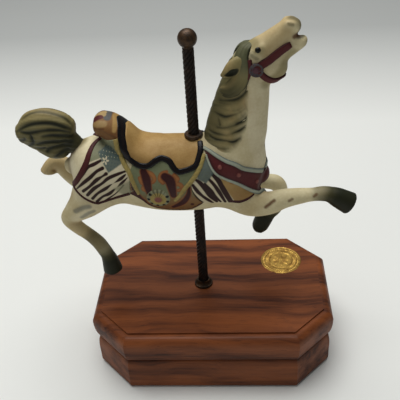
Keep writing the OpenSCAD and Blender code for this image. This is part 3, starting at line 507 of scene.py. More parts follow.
class Graph:
    """Adds nodes to a node tree, with numbers set on sockets and outputs linked to them."""

    def __init__(self, tree: bpy.types.NodeTree) -> None:
        """Keeps the tree that nodes are added to."""
        self.tree = tree

    def add(self, kind: str, sockets: dict[Any, Any] | None = None, **settings: Any
            ) -> bpy.types.Node:
        """Adds a node.

        Args:
            kind: Blender's name for it, without the leading ShaderNode.
            sockets: Values or outputs for its inputs, by name or number.
            settings: The node's own settings.

        Returns:
            The node.
        """
        node = self.tree.nodes.new("ShaderNode" + kind)
        for key, value in settings.items():
            setattr(node, key, value)
        for key, value in (sockets or {}).items():
            if isinstance(value, bpy.types.NodeSocket):
                self.tree.links.new(value, node.inputs[key])
            else:
                node.inputs[key].default_value = value
        return node

    def math(self, operation: str, *values: Any) -> bpy.types.NodeSocket:
        """Result of a sum on numbers or outputs."""
        return self.add("Math", dict(enumerate(values)), operation=operation).outputs[0]

    def mix(self, factor: Any, a: Any, b: Any) -> bpy.types.NodeSocket:
        """Colour between a and b."""
        return self.add("Mix", {0: factor, 6: a, 7: b}, data_type="RGBA").outputs[2]

    def noise(self, vector: Any, scale: float, detail: float = 3.0, rough: float = 0.5
              ) -> bpy.types.NodeSocket:
        """Cloudy value about one half, with features of one over scale metres."""
        return self.add("TexNoise", {"Vector": vector, "Scale": scale, "Detail": detail,
                                     "Roughness": rough}).outputs["Fac"]

    def scaled(self, vector: Any, by: Sequence[float]) -> bpy.types.NodeSocket:
        """A place with each axis stretched by a number."""
        return self.add("Mapping", {"Vector": vector, "Scale": by}).outputs[0]

    def band(self, value: Any, low: float, high: float) -> bpy.types.NodeSocket:
        """Goes from 0 at low to 1 at high, and stays there."""
        return self.add("MapRange", {0: value, 1: low, 2: high}).outputs[0]


def shared_group(name: str, inputs: dict[str, str], outputs: dict[str, str],
                 build: Callable[[Graph, Any], dict[str, Any]]) -> bpy.types.NodeTree:
    """A node group that several finishes use, made once.

    Args:
        name: Its name.
        inputs: Socket types by name.
        outputs: Socket types by name.
        build: Adds the nodes, and gives what feeds each output.

    Returns:
        The group.
    """
    found = bpy.data.node_groups.get(name)
    if found:
        return found
    tree = bpy.data.node_groups.new(name, "ShaderNodeTree")
    for label, kind in inputs.items():
        tree.interface.new_socket(name=label, in_out="INPUT", socket_type="NodeSocket" + kind)
    for label, kind in outputs.items():
        tree.interface.new_socket(name=label, in_out="OUTPUT", socket_type="NodeSocket" + kind)
    graph = Graph(tree)
    source, sink = tree.nodes.new("NodeGroupInput"), tree.nodes.new("NodeGroupOutput")
    for label, value in build(graph, source.outputs).items():
        tree.links.new(value, sink.inputs[label])
    return tree


def mottle_group() -> bpy.types.NodeTree:
    """Cloudy wear: a coarse and a fine noise give a mask, and a fine grain a height."""
    def build(graph: Graph, given: Any) -> dict[str, Any]:
        """Adds the two noises; the fine one is seven times finer."""
        coarse = graph.add("TexNoise", {"Vector": given["Vector"], "Scale": given["Scale"],
                                        "Detail": 4.0}).outputs["Fac"]
        finer = graph.math("MULTIPLY", given["Scale"], 7.0)
        fine = graph.add("TexNoise", {"Vector": given["Vector"], "Scale": finer,
                                      "Detail": 3.0}).outputs["Fac"]
        both = graph.math("MULTIPLY_ADD", fine, 0.35, graph.math("MULTIPLY", coarse, 0.65))
        return {"Mask": graph.band(both, 0.38, 0.62), "Height": fine}
    return shared_group("mottle", {"Vector": "Vector", "Scale": "Float"},
                        {"Mask": "Float", "Height": "Float"}, build)


class Finish:
    """What every finish shares: a material made once, with its shader and coordinates."""

    name: str

    def material(self) -> bpy.types.Material:
        """The finish's material, made the first time that it is asked for."""
        found = bpy.data.materials.get(self.name)
        if found:
            return found
        made = bpy.data.materials.new(self.name)
        made.use_nodes = True
        graph = Graph(made.node_tree)
        shader = made.node_tree.nodes["Principled BSDF"]
        place = graph.add("TexCoord").outputs["Object"]
        self.dress(graph, shader, place)
        return made

    def dress(self, graph: Graph, shader: bpy.types.Node, place: bpy.types.NodeSocket) -> None:
        """Adds the nodes that give the finish its look."""
        raise NotImplementedError

    @staticmethod
    def link(graph: Graph, shader: bpy.types.Node, **sockets: Any) -> None:
        """Sets or links the shader's sockets, with underscores for spaces in their names."""
        for key, value in sockets.items():
            target = shader.inputs[key.replace("_", " ")]
            if isinstance(value, bpy.types.NodeSocket):
                graph.tree.links.new(value, target)
            else:
                target.default_value = value

    @staticmethod
    def mottle(graph: Graph, place: Any, scale: float) -> tuple[Any, Any]:
        """Mask and height of the shared cloudy wear."""
        node = graph.add("Group", node_tree=mottle_group())
        graph.tree.links.new(place, node.inputs["Vector"])
        node.inputs["Scale"].default_value = scale
        return node.outputs["Mask"], node.outputs["Height"]

    @staticmethod
    def relief(graph: Graph, height: Any, distance: float, strength: float) -> Any:
        """Normal of a bump whose height is given."""
        return graph.add("Bump", {"Height": height, "Distance": distance,
                                  "Strength": strength}).outputs["Normal"]


@dataclass(frozen=True)
class Metal(Finish):
    """A metal surface with a clouded patina.

    Attributes:
        name: The finish.
        bright: Its colour where it is rubbed.
        dull: Its colour where it has darkened.
        rough: Roughness where it is rubbed.
        metallic: Share of metal in the shine.
        cloud: Clouds of patina in a metre.
        grain: Height of the surface grain in mm.
    """

    name: str
    bright: tuple[int, int, int]
    dull: tuple[int, int, int]
    rough: float = 0.3
    metallic: float = 1.0
    cloud: float = 120.0
    grain: float = 0.02

    def dress(self, graph: Graph, shader: bpy.types.Node, place: bpy.types.NodeSocket) -> None:
        """Mixes the two colours and the roughness by the patina, over a fine grain."""
        mask, height = self.mottle(graph, place, self.cloud)
        colour = graph.mix(mask, (*linear(self.bright), 1.0), (*linear(self.dull), 1.0))
        rough = graph.math("MULTIPLY_ADD", mask, 0.18, self.rough)
        self.link(graph, shader, Base_Color=colour, Roughness=rough, Metallic=self.metallic,
                  Normal=self.relief(graph, height, self.grain * MM, 0.5))


@dataclass(frozen=True)
class Oak(Finish):
    """Stained oak under satin varnish, its grain along X.

    Attributes:
        name: The finish.
        light: Colour of the early wood.
        dark: Colour of the late wood.
        pore: Colour in the open pores.
    """

    name: str = "stained_oak"
    light: tuple[int, int, int] = (130, 70, 32)
    dark: tuple[int, int, int] = (78, 36, 14)
    pore: tuple[int, int, int] = (34, 14, 6)

    def dress(self, graph: Graph, shader: bpy.types.Node, place: bpy.types.NodeSocket) -> None:
        """Streaks come from noises stretched along X: broad figure, fine lines and pores."""
        bend = graph.noise(place, 14.0, 2.0)
        wavy = graph.add("VectorMath", {0: place, 1: graph.add("CombineXYZ", {
            "Y": graph.math("MULTIPLY", bend, 0.02),
            "Z": graph.math("MULTIPLY", bend, 0.012)}).outputs[0]}).outputs[0]
        figure = graph.band(graph.noise(graph.scaled(wavy, (5.0, 90.0, 90.0)), 1.0, 4.0, 0.6),
                            0.36, 0.66)
        lines = graph.band(graph.noise(graph.scaled(wavy, (16.0, 520.0, 520.0)), 1.0, 3.0, 0.6),
                           0.40, 0.68)
        pores = graph.band(graph.noise(graph.scaled(wavy, (70.0, 1700.0, 1700.0)), 1.0, 2.0),
                           0.60, 0.70)
        streak = graph.math("MULTIPLY", graph.band(figure, 0.35, 0.9), lines)
        base = graph.mix(figure, (*linear(self.light), 1.0), (*linear(self.dark), 1.0))
        base = graph.mix(graph.math("MULTIPLY", streak, 0.75), base, (*linear(self.pore), 1.0))
        base = graph.mix(graph.math("MULTIPLY", pores, 0.45), base, (*linear(self.pore), 1.0))
        height = graph.math("SUBTRACT", graph.math("MULTIPLY", lines, -0.3), pores)
        self.link(graph, shader, Base_Color=base, Coat_Weight=0.08, Coat_Roughness=0.3,
                  Roughness=graph.math("MULTIPLY_ADD", figure, 0.12, 0.5),
                  Specular_IOR_Level=0.2, Normal=self.relief(graph, height, 0.08 * MM, 0.35))


@dataclass(frozen=True)
class Hardboard(Finish):
    """Pressed brown fibreboard.

    Attributes:
        name: The finish.
        light: Colour of the fibres.
        dark: Colour between them.
    """

    name: str = "pressed_hardboard"
    light: tuple[int, int, int] = (138, 108, 78)
    dark: tuple[int, int, int] = (96, 70, 48)

    def dress(self, graph: Graph, shader: bpy.types.Node, place: bpy.types.NodeSocket) -> None:
        """Short crossing fibres from fine noises over a cloudy ground."""
        mask, height = self.mottle(graph, place, 220.0)
        fibre = graph.noise(graph.scaled(place, (900.0, 2600.0, 900.0)), 1.0, 2.0)
        colour = graph.mix(graph.math("MULTIPLY", mask, graph.band(fibre, 0.3, 0.7)),
                           (*linear(self.light), 1.0), (*linear(self.dark), 1.0))
        self.link(graph, shader, Base_Color=colour, Roughness=0.85,
                  Normal=self.relief(graph, height, 0.1 * MM, 0.5))


@dataclass(frozen=True)
class Bisque(Finish):
    """Hand-painted unglazed porcelain that takes its colours from the piece's paint.

    Attributes:
        name: The finish.
        rough: Roughness of the paint.
        cloud: Clouds of uneven paint in a metre.
        uneven: How far the paint's brightness varies.
        grain: Height of the surface grain in mm.
        brown: Colour of the wash, which multiplies the paint.
    """

    name: str = "painted_bisque"
    rough: float = 0.46
    cloud: float = 90.0
    uneven: float = 0.3
    grain: float = 0.03
    brown: tuple[int, int, int] = (196, 176, 140)

    def dress(self, graph: Graph, shader: bpy.types.Node, place: bpy.types.NodeSocket) -> None:
        """The paint, darkened in clouds towards a brown wash, on a fine porcelain grain."""
        paint = graph.add("Attribute", attribute_name="paint").outputs["Color"]
        mask, height = self.mottle(graph, place, self.cloud)
        wash = graph.add("Mix", {0: 1.0, 6: paint, 7: (*linear(self.brown), 1.0)},
                         data_type="RGBA", blend_type="MULTIPLY").outputs[2]
        colour = graph.mix(graph.math("MULTIPLY", mask, self.uneven), paint, wash)
        self.link(graph, shader, Base_Color=colour,
                  Roughness=graph.math("MULTIPLY_ADD", mask, 0.12, self.rough),
                  Specular_IOR_Level=0.2, Normal=self.relief(graph, height, self.grain * MM, 0.4))


BISQUE = Bisque()
ENAMEL = Bisque("glossy_enamel", rough=0.2, uneven=0.1, grain=0.0)
LEATHER = Bisque("tan_leather", rough=0.5, cloud=140.0, uneven=0.45, grain=0.06)
BRONZE = Metal("dark_bronze", (40, 23, 11), (14, 9, 5), rough=0.42, metallic=0.55, cloud=260.0)
ANTIQUE = Metal("antique_bronze_finish", (76, 52, 27), (26, 17, 9), rough=0.42, metallic=0.5,
                cloud=200.0)
GOLD = Metal("gold_foil_finish", (196, 158, 78), (132, 98, 42), rough=0.36, metallic=0.75,
             cloud=300.0)
BRASS = Metal("polished_brass", (212, 176, 96), (168, 130, 62), rough=0.22)
STEEL = Metal("plated_steel", (176, 177, 180), (128, 129, 133), rough=0.28, cloud=400.0)
SPRING = Metal("ground_spring_steel", (150, 152, 158), (100, 102, 110), rough=0.3, cloud=500.0)
ZINC = Metal("cast_zinc_plate", (172, 173, 176), (138, 139, 143), rough=0.45, cloud=180.0,
             grain=0.05)


class NodeFinish(Enum):
    """Each finish, and the CAD nodes that it is put on."""

    OAK = (Oak(), ("base_top_board", "base_plinth"))
    HARDBOARD = (Hardboard(), ("bottom_board",))
    BRONZE = (BRONZE, ("lower_sleeve", "upper_sleeve"))
    ANTIQUE = (ANTIQUE, ("pole_ferrule", "saddle_collar", "ball_finial"))
    GOLD = (GOLD, ("seal_disc",))
    BRASS = (BRASS, ("pole_bush", "shaft_coupling", "spring_barrel", "crown_wheel",
                     "music_cylinder", "cylinder_wheel", "governor_wheel", "governor_pinion"))
    STEEL = (STEEL, ("board_screws", "bedplate_screws", "post_screws", "comb_screws",
                     "governor_screws", "coupling_screws", "pole_rod", "output_shaft",
                     "spring_arbor", "winding_key", "cylinder_arbor", "cylinder_pinion",
                     "governor_arbor"))
    SPRING = (SPRING, ("comb", "mainspring", "governor_worm"))
    ZINC = (ZINC, ("bedplate", "cylinder_posts", "governor_frame", "air_brake", "horse"))


def dress_nodes() -> None:
    """Gives every CAD node its finish."""
    for choice in NodeFinish:
        finish, names = choice.value
        for name in names:
            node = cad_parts[name]
            node.data.materials.clear()
            node.data.materials.append(finish.material())
        log.info("%s on %d nodes", finish.name, len(names))
    left = set(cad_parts) - {n for c in NodeFinish for n in c.value[1]}
    if left:
        raise ValueError(f"no finish for {sorted(left)}")


# ---------------------------------------------------------------- the horse


@dataclass(frozen=True)
class Wash:
    """A soft stroke of colour on the horse.

    Attributes:
        paint: Its colour.
        path: Its middle, for the near side.
        radius: Where it has faded out, in mm.
        strength: Its share of the colour at the middle.
    """

    paint: Paint
    path: Curve
    radius: float
    strength: float = 1.0

    def cover(self, points: Array) -> Array:
        """Share of the stroke's colour at each point."""
        flipped = [[p[0], -p[1], p[2]] for p in self.path]
        core = self.radius * 0.35
        near, far = (1 - ease(far_from(points, path), core, self.radius)
                     for path in (self.path, flipped))
        return np.maximum(near, far) * self.strength


def loft(*rows: Sequence[float]) -> Curve:
    """Stations of a limb: x, y, z, half height and half width."""
    return rows


@dataclass
class Horse:
    """The jumping horse: one casting, with its hair and its painted trappings.

    Sizes are in mm from the pole's axis and the belly line, and the near side has y < 0.

    Attributes:
        grid: Distance between the points of the casting's surface.
        blend: Width of the fillets where the legs join the body.
        trunk: Stations of the body. The limbs below it, up to the cantle, have theirs.
        legs: Stations of near fore, far fore, near hind and far hind.
        hoofs: Stations of the four hoofs, in the same order.
        bumps: Nostrils and lips of the near side.
        tail: Its body, its root and its lower lock.
        clay: The modelled casting.
        brush: The tail alone, on a finer grid.
    """

    grid: float = 0.75
    blend: float = 6.0
    trunk: Curve = loft(
        (-82.5, 0, 35, 6, 5), (-78.5, 0, 35, 14.2, 11.5), (-72, 0, 34.6, 19.8, 16.2),
        (-62, 0, 32.6, 23.4, 18.6), (-50, 0, 31.3, 23.5, 18.8), (-36, 0, 29, 25.4, 19.6),
        (-20, 0, 27, 27, 20), (0, 0, 27, 27, 20), (13, 0, 29.5, 26.2, 19.4),
        (24, 0, 33, 24.5, 17.5), (32, 0, 31.2, 20.4, 14.5), (38, 0, 28, 14.6, 12),
        (41.4, 0, 26, 10, 9.2), (43, 0, 25.4, 5.6, 6))
    neck: Curve = loft(
        (23, 0, 36, 19, 15), (26, 0, 49, 18.7, 13.5), (28.5, 0, 60, 18.2, 12),
        (30.5, 0, 70, 16.8, 10.6), (33, 0, 81, 15, 9.2), (36, 0, 92, 12.4, 8.4),
        (39, 0, 101, 9.5, 7))
    muzzle: Curve = loft(
        (34.5, 0, 102.5, 9.2, 7.2), (40.8, 0, 108.2, 9.8, 7.8), (47.5, 0, 113.8, 8.2, 6.9),
        (54, 0, 120, 6.4, 5.7), (59.4, 0, 124.3, 5.3, 5.1), (62, 0, 124.7, 4.3, 4.4))
    jowl: Curve = loft((42, 0, 101, 9, 7.4), (47.5, 0, 100.6, 10, 7.6), (51.5, 0, 101.6, 8.4, 6.4))
    cheek: Curve = loft((48, 0, 108, 8, 6.4), (55, 0, 114, 6.4, 5), (60.2, 0, 117.8, 4, 4))
    jaw: Curve = loft(
        (49, 0, 104.5, 7, 6.2), (56.5, 0, 109.2, 4.8, 4.5), (62, 0, 112.8, 4.1, 4.1),
        (65.8, 0, 115.4, 3.7, 3.9), (67, 0, 116.8, 2.6, 3))
    crest: Curve = loft(
        (13.4, 0, 58, 4, 4), (14.8, 0, 66, 4, 4.5), (17.2, 0, 73, 4, 4.8), (19.8, 0, 81, 4, 5),
        (22.3, 0, 88, 4, 5), (25.3, 0, 95, 4.2, 5), (28.8, 0, 102, 4.4, 5),
        (32.8, 0, 107.6, 4.6, 5))
    cantle: Curve = loft(
        (-57.3, 0, 65.6, 7.4, 10), (-52.5, 0, 63.2, 8, 11.5), (-47, 0, 57.2, 8.6, 13),
        (-40, 0, 49.6, 8.4, 14), (-32, 0, 45.8, 8.4, 15), (-24, 0, 44.6, 8.4, 15.5))
    legs: tuple[Curve, ...] = (
        loft((26, -10, 19, 15.4, 8), (36, -12, 10.6, 10.6, 7.5), (47, -13, 10.2, 8.4, 6.6),
             (57, -13.5, 13.8, 6.6, 6.2), (66.5, -13.5, 15.6, 5.5, 5.3),
             (75, -13.5, 16.6, 4.5, 4.6), (81.5, -13.5, 17.2, 4.9, 5),
             (86.5, -13.5, 16.6, 5.2, 5.2)),
        loft((26, 10, 22, 14, 8), (35, 12, 15, 8.5, 7), (45, 13, 10.5, 5.4, 5.6),
             (53.5, 13, 8.5, 5.6, 5.6), (57, 13, 2.5, 5, 5.2), (56.5, 13, -5, 4.2, 4.4),
             (54, 13, -12, 4.8, 4.8), (50, 13, -16.5, 4.9, 4.9)),
        loft((-56, -9, 32, 20, 9.5), (-66, -11, 22.5, 16, 9.5), (-75, -12.5, 12.5, 11.2, 8),
             (-83, -13, 5.5, 7.6, 6.2), (-87, -13, 0.5, 5.8, 5.4), (-82.5, -13, -7, 4.8, 4.8),
             (-76, -13, -13.5, 4.4, 4.6), (-70.5, -13, -20.5, 4.8, 4.9),
             (-67, -13, -28, 4.9, 5), (-65.4, -13, -32, 4.9, 5)),
        loft((-56, 9, 32, 21, 9.5), (-66, 11, 22, 15, 9), (-76, 12, 15, 10, 7.6),
             (-83, 13, 16.5, 8.4, 6.4), (-88, 13, 22, 8, 6), (-91.5, 13, 26, 7.4, 5.6),
             (-94.5, 13, 28.6, 6.2, 5.2)))
    hoofs: tuple[Curve, ...] = (
        loft((86.5, -13.5, 16.6, 5.2, 5.2), (91.5, -13.5, 14, 6.6, 6.2),
             (100.5, -13.5, 8.6, 7.8, 7.2)),
        loft((49.8, 13, -16.2, 5, 4.9), (46, 13, -21, 6.2, 5.8), (42.6, 13, -29, 5.8, 5.8),
             (41.6, 13, -33, 3.2, 4)),
        loft((-65.4, -13, -32, 4.9, 5), (-64.4, -13, -37, 5.8, 5.8), (-63.4, -13, -46, 7, 6.8)),
        loft((-94.5, 13, 29, 5.4, 5.2), (-97, 13, 30, 4.9, 5.2), (-100.6, 13, 28.2, 4.2, 5.6),
             (-102.4, 13, 25.6, 4.8, 6.2), (-103, 13, 22.8, 6.6, 6.8)))
    bumps: tuple[Curve, ...] = (
        loft((38.5, -6.6, 112.5, 1.8, 1.6), (42.5, -6.4, 114.6, 1.8, 1.5)),
        loft((56.6, -3.8, 127, 2, 1.6), (60.4, -4, 127, 1.8, 1.5)))
    tail: tuple[Curve, ...] = (
        loft((-79.5, 0, 61, 8.2, 6), (-83.5, 0, 62.2, 11.2, 8), (-89, 0, 62.3, 13.6, 8.8),
             (-97, 0, 62, 14.2, 8.6), (-105, 0, 61, 12, 7), (-111.2, 0, 60, 6, 4.5)),
        loft((-74, 0, 46, 5, 4.5), (-79, 0, 53, 5.5, 5.2), (-85, 0, 58, 6, 6)),
        loft((-82, 0, 51, 4, 4.5), (-87, 0, 49.5, 6.8, 6.2), (-93, 0, 48.8, 6.2, 6),
             (-99, 0, 51, 4.4, 4.6)))
    clay: Clay = field(init=False)
    brush: Clay = field(init=False)

    def __post_init__(self) -> None:
        """Models the casting's bare form."""
        clay = Clay((-126, -26, -52), (110, 26, 140), self.grid)
        clay.add(self.trunk, 1.0)
        clay.add(self.neck, 6.0)
        clay.add(self.muzzle, 3.0)
        clay.add(self.jowl, 3.0)
        clay.add(self.cheek, 2.0)
        clay.add(self.jaw, 2.0)
        for leg in self.legs:
            clay.add(leg, self.blend)
        for bump in self.bumps:
            for side in SIDES:
                clay.add([(x, y * side, *rest) for x, y, *rest in bump], 3.0)
        clay.add(self.crest, 4.0)
        clay.soften(2)
        clay.add(self.cantle, 1.5)
        for hoof in self.hoofs:
            clay.add(hoof, 0.5, dome=0.05)
        self.add_tail(clay)
        clay.soften(1)
        self.clay = clay
        self.brush = Clay((-120, -14, 34), (-70, 14, 84), 0.5)
        self.add_tail(self.brush)
        self.brush.soften(1)

    def add_tail(self, clay: Clay) -> None:
        """Adds the tail's body, root and end to a form."""
        for lock in self.tail:
            clay.add(lock, 2.0, dome=0.4)

    @staticmethod
    def seated(points: Array) -> Array:
        """Points in the whole object's frame."""
        return points + (POLE_X, 0.0, BELLY_Z)

    def finished(self, shell: Shell, name: str, finish: Finish = BISQUE,
                 replaces: Sequence[str] = ()) -> None:
        """Puts a shell in its place on the carousel."""
        placed = Shell(self.seated(shell.points), shell.faces, shell.paint, shell.uv)
        placed.piece(name, finish.material(), "carousel", "bisque", replaces)

    def both(self, make: Callable[[int], Shell], name: str, finish: Finish = BISQUE) -> None:
        """Makes one piece of two shells, one for each side."""
        self.finished(Shell.joined([make(side) for side in SIDES]), name, finish)

    # ---- laying pieces on the casting

    def ribbon(self, path: Curve, lift: Callable[[Array, Array], Array],
               paint: Callable[[Array, Array], Array], side: int = 1,
               rows: int = 60, cols: int = 13, sink: float = 0.7) -> Shell:
        """A strip that follows a path on the casting. Across it, s goes from -1 to 1 over
        the width, square to the path and to the form's normal, and each point then stands
        at its height above the form.

        Args:
            path: Rows of x, y, z and width.
            lift: Height for t along and s across.
            paint: Colour for t and s.
            side: 1 for the near side as written, -1 for its mirror image.
            rows: Points along.
            cols: Points across.
            sink: Depth of its underside in the form.

        Returns:
            The closed strip.
        """
        c = even(path, rows)
        c[:, 1] *= side
        middle = self.clay.settle(c[:, :3])
        tangent = np.gradient(middle, axis=0)
        tangent /= np.linalg.norm(tangent, axis=1, keepdims=True)
        across = np.cross(self.clay.normal(middle), tangent)
        across /= np.linalg.norm(across, axis=1, keepdims=True)
        t, s = unit_grid(rows, cols, -1)
        spread = middle[:, None] + across[:, None] * (s * c[:, 3:4] / 2)[..., None]
        top = self.clay.settle(spread, lift(t, s))
        bottom = self.clay.settle(spread, -sink)
        return Shell.slab(top, bottom, paint(t, s))

    def patch(self, edges: tuple[Curve, Curve, Curve, Curve], lift: float,
              paint: Callable[[Array], Array], side: int = 1,
              rows: int = 100, cols: int = 80, sink: float = 0.6) -> Shell:
        """A thin panel between four edges: the mean of the two ruled surfaces between
        facing edges, less the one between the corners, laid on the form and thinned
        towards its border.

        Args:
            edges: Left and right from top to bottom, then top and bottom from left to right.
            lift: Thickness.
            paint: Colour for places on the near side.
            side: 1 for the near side as written, -1 for its mirror image.
            rows: Points from left to right.
            cols: Points from top to bottom.
            sink: Depth of its underside in the form.

        Returns:
            The closed panel.
        """
        left, right = (even(e, cols)[None, :, :3] for e in edges[:2])
        top, bottom = (even(e, rows)[:, None, :3] for e in edges[2:])
        u, v = unit_grid(rows, cols)
        u3, v3 = u[..., None], v[..., None]
        corners = ((1 - u3) * (1 - v3) * top[0, 0] + u3 * (1 - v3) * top[-1, 0]
                   + (1 - u3) * v3 * bottom[0, 0] + u3 * v3 * bottom[-1, 0])
        grid = (1 - v3) * top + v3 * bottom + (1 - u3) * left + u3 * right - corners
        inner = np.minimum(np.minimum(u, 1 - u) * rows, np.minimum(v, 1 - v) * cols) / 2
        near = self.clay.settle(grid)
        colour = paint(near.reshape(-1, 3)).reshape(grid.shape)
        turned = near * (1, side, 1)
        thick = self.clay.settle(turned, lift * np.clip(0.25 + inner, 0, 1))
        return Shell.slab(thick, self.clay.settle(turned, -sink), colour)

    def boss(self, centre: Sequence[float], radius: float, lift: Callable[[Array], Array],
             paint: Callable[[Array, Array], Array], side: int = 1, size: int = 25,
             sink: float = 0.7) -> Shell:
        """A round boss: a disc square to the form's normal, laid on the form.

        Args:
            centre: Its middle.
            radius: Its radius.
            lift: Height at a distance of r radii.
            paint: Colour at r radii and at an angle.
            side: 1 for the near side as written, -1 for its mirror image.
            size: Points on a side of the grid.
            sink: Depth of its underside in the form.

        Returns:
            The closed boss.
        """
        p = self.clay.settle(np.array([[centre[0], centre[1] * side, centre[2]]]))[0]
        n = self.clay.normal(p[None])[0]
        e = np.cross((0, 0, 1.0), n)
        e /= np.linalg.norm(e)
        f = np.cross(n, e)
        x, y, r, angle = disc(size)
        spread = p + radius * (x[..., None] * e + y[..., None] * f)
        top = self.clay.settle(spread, lift(r))
        bottom = self.clay.settle(spread, -sink)
        return Shell.slab(top, bottom, paint(r, angle))


def spread_over(paint: Paint, shape: Sequence[int]) -> Array:
    """A paint that is the same all over an array of colours."""
    return np.broadcast_to(paint.rgb, shape).copy()


def flat(paint: Paint) -> Callable[[Array, Array], Array]:
    """A paint for a ribbon or a boss that is the same all over."""
    return lambda a, b: spread_over(paint, (*a.shape, 3))


def blend(a: Array | Paint, b: Array | Paint, share: Array) -> Array:
    """Colours between a and b: a plus the share of the way to b.

    Args:
        a: Colours where the share is 0.
        b: Colours where the share is 1.
        share: A value for each place.

    Returns:
        A linear colour for each place.
    """
    a, b = (c.rgb if isinstance(c, Paint) else c for c in (a, b))
    return a + (b - a) * share[..., None]


@dataclass
class Casting:
    """The horse's bare casting with its painted coat.

    Attributes:
        horse: The form.
        washes: Strokes of colour, one over another; the cream ones are painted highlights and the khaki
            ones under the jaw are painted shade.
    """

    horse: Horse
    washes: tuple[Wash, ...] = (
        # Painted highlights: cream washes lighten the haunch, the front of the neck and a streak down
        # the neck.
        Wash(Paint.CREAM, ((-70, -8, 52), (-76, -12, 42), (-74, -17, 30)), 16, 0.8),
        Wash(Paint.CREAM, ((44, -10, 60), (42, -10, 80), (40, -9, 92)), 9, 0.5),
        Wash(Paint.CREAM, ((36, -9, 84.5), (37.5, -9, 77.5), (37, -9.5, 70), (36.5, -10.5, 62),
                           (37.5, -10.5, 53), (41, -9, 43)), 4, 0.8),
        Wash(Paint.HONEY, ((40, 0, 114), (50, 0, 122), (58, 0, 129)), 9, 0.7),
        Wash(Paint.HONEY, ((46, -6, 112), (52, -6, 116), (57, -5, 121)), 6, 0.6),
        Wash(Paint.HONEY, ((20, -8, 60), (22, -9, 75), (26, -8, 88)), 12, 0.8),
        Wash(Paint.KHAKI, ((15, 0, 60), (18, 0, 78), (24, 0, 94), (30, 0, 106)), 8, 0.9),
        Wash(Paint.HONEY, ((44, -12, 24), (40, -15, 14), (34, -17, 10)), 9, 0.4),
        Wash(Paint.HONEY, ((-72, -20, 14), (-82, -18, 5), (-88, -17, -2)), 10, 0.25),
        # Painted highlights: cream washes lighten the thigh and the base of the neck.
        Wash(Paint.CREAM, ((-62, -20, 15), (-70, -20, 10), (-78, -19, 4)), 8, 0.7),
        Wash(Paint.CREAM, ((42, -8, 60), (43, -9, 48), (42, -12, 40)), 8, 0.8),
        Wash(Paint.HONEY, ((-84, -16, -3), (-78, -16, -12), (-72, -16, -20)), 8, 0.6),
        Wash(Paint.OLIVE, ((-75, -13, -15), (-70, -13, -22), (-66, -13, -31)), 8.5, 0.85),
        Wash(Paint.OLIVE, ((80, -13, 17), (84, -13, 17), (90, -13, 15)), 9, 0.8),
        Wash(Paint.HONEY, ((-88, 13, 24), (-94, 13, 30), (-100, 13, 30), (-107, 13, 26)), 12, 0.8),
        Wash(Paint.OLIVE, ((-110, 13, 24), (-105, 13, 20), (-99, 13, 20.5)), 3.5, 0.9),
        Wash(Paint.OLIVE, ((61, 0, 130), (65, 0, 127), (66.5, 0, 123)), 5.5, 0.75),
        Wash(Paint.OLIVE, ((64.4, -2, 119.8), (66, 0, 119)), 3, 0.9),
        # Painted shade: khaki washes darken the underside of the jaw and the chin.
        Wash(Paint.KHAKI, ((47, -7, 92), (54, -6, 97), (58, -5, 104), (61, -4, 108)), 6, 0.7),
        Wash(Paint.KHAKI, ((62, 0, 109), (66, 0, 111), (69.5, 0, 115)), 4, 0.7),
        Wash(Paint.KHAKI, ((58, 0, 105), (57, 0, 98), (52, 0, 91)), 4.5, 0.7),
        Wash(Paint.KHAKI, ((-74, 0, 54), (-79, 0, 60), (-82, 0, 62)), 8, 0.9),
        Wash(Paint.OLIVE, ((-75, -2, 46), (-78, -3, 51), (-79, -4, 56)), 5, 0.9),
        Wash(Paint.SLATE, ((-80, -20, 11.5), (-76.5, -20.5, 13.5), (-73.5, -20.5, 15),
                           (-70, -20.5, 15.5)), 2.6, 0.6),
        Wash(Paint.SLATE, ((-76.5, -19, 6), (-71.5, -20, 9.5), (-68, -19.5, 11)), 2.2, 0.55),
        Wash(Paint.UMBER, ((45, -19.5, 11.5), (48, -19, 14), (50.5, -18.5, 16)), 1.6, 0.9),
        Wash(Paint.UMBER, ((60, -19.5, 16), (62, -19, 17)), 1.4, 0.8),
        Wash(Paint.UMBER, ((76, -17.5, 18), (77.5, -17.5, 19.5)), 1.4, 0.8),
        Wash(Paint.OLIVE, ((37, -7.5, 110.5), (38.5, -8, 109.5), (40, -8, 108.5)), 1.6, 0.5),
        Wash(Paint.OLIVE, ((57.5, -5, 127.6), (60, -5.4, 127)), 1.3, 0.55),
        Wash(Paint.UMBER, ((61.5, -4, 119.5), (63, -3, 119.8), (64.5, -1, 120)), 2.2, 0.9),
        Wash(Paint.KHAKI, ((36, -2, 117.5), (38.5, -4.5, 116.5)), 5, 0.8),
        Wash(Paint.KHAKI, ((40.5, -8, 114), (41.5, -8, 114)), 4.5, 0.45),
    )
    dark_hoofs: int = 3

    def coat(self, points: Array) -> Array:
        """Colour of the coat at each point: the washes, then the dark hoofs, which start at
        the plane through their first station."""
        colour = spread_over(Paint.IVORY, points.shape)
        for wash in self.washes:
            colour = blend(colour, wash.paint, wash.cover(points))
        back = ease(points[:, 2] - 58.5 - 0.12 * (points[:, 0] + 60), -0.6, 0.6)
        back = back * ease(points[:, 0], -69, -67.5) * (1 - ease(points[:, 0], -44, -42))
        colour = blend(colour, Paint.CANTLE, back)
        colour = blend(colour, Paint.UMBER, back * 0.6 * (1 - ease(points[:, 2], 60, 65)))
        for hoof in self.horse.hoofs[:self.dark_hoofs]:
            start, end = np.array(hoof[0][:3]), np.array(hoof[-1][:3])
            heading = (end - start) / np.linalg.norm(end - start)
            along = (points - start) @ heading
            off = np.linalg.norm(points - start - along[:, None] * heading, axis=1)
            near = (off < 11) * (along < 26)
            colour = blend(colour, Paint.OLIVE, ease(along, -9.0, -1.0) * near)
            colour = blend(colour, Paint.HOOF, ease(along, -4.0, 4.0) * near)
        return colour

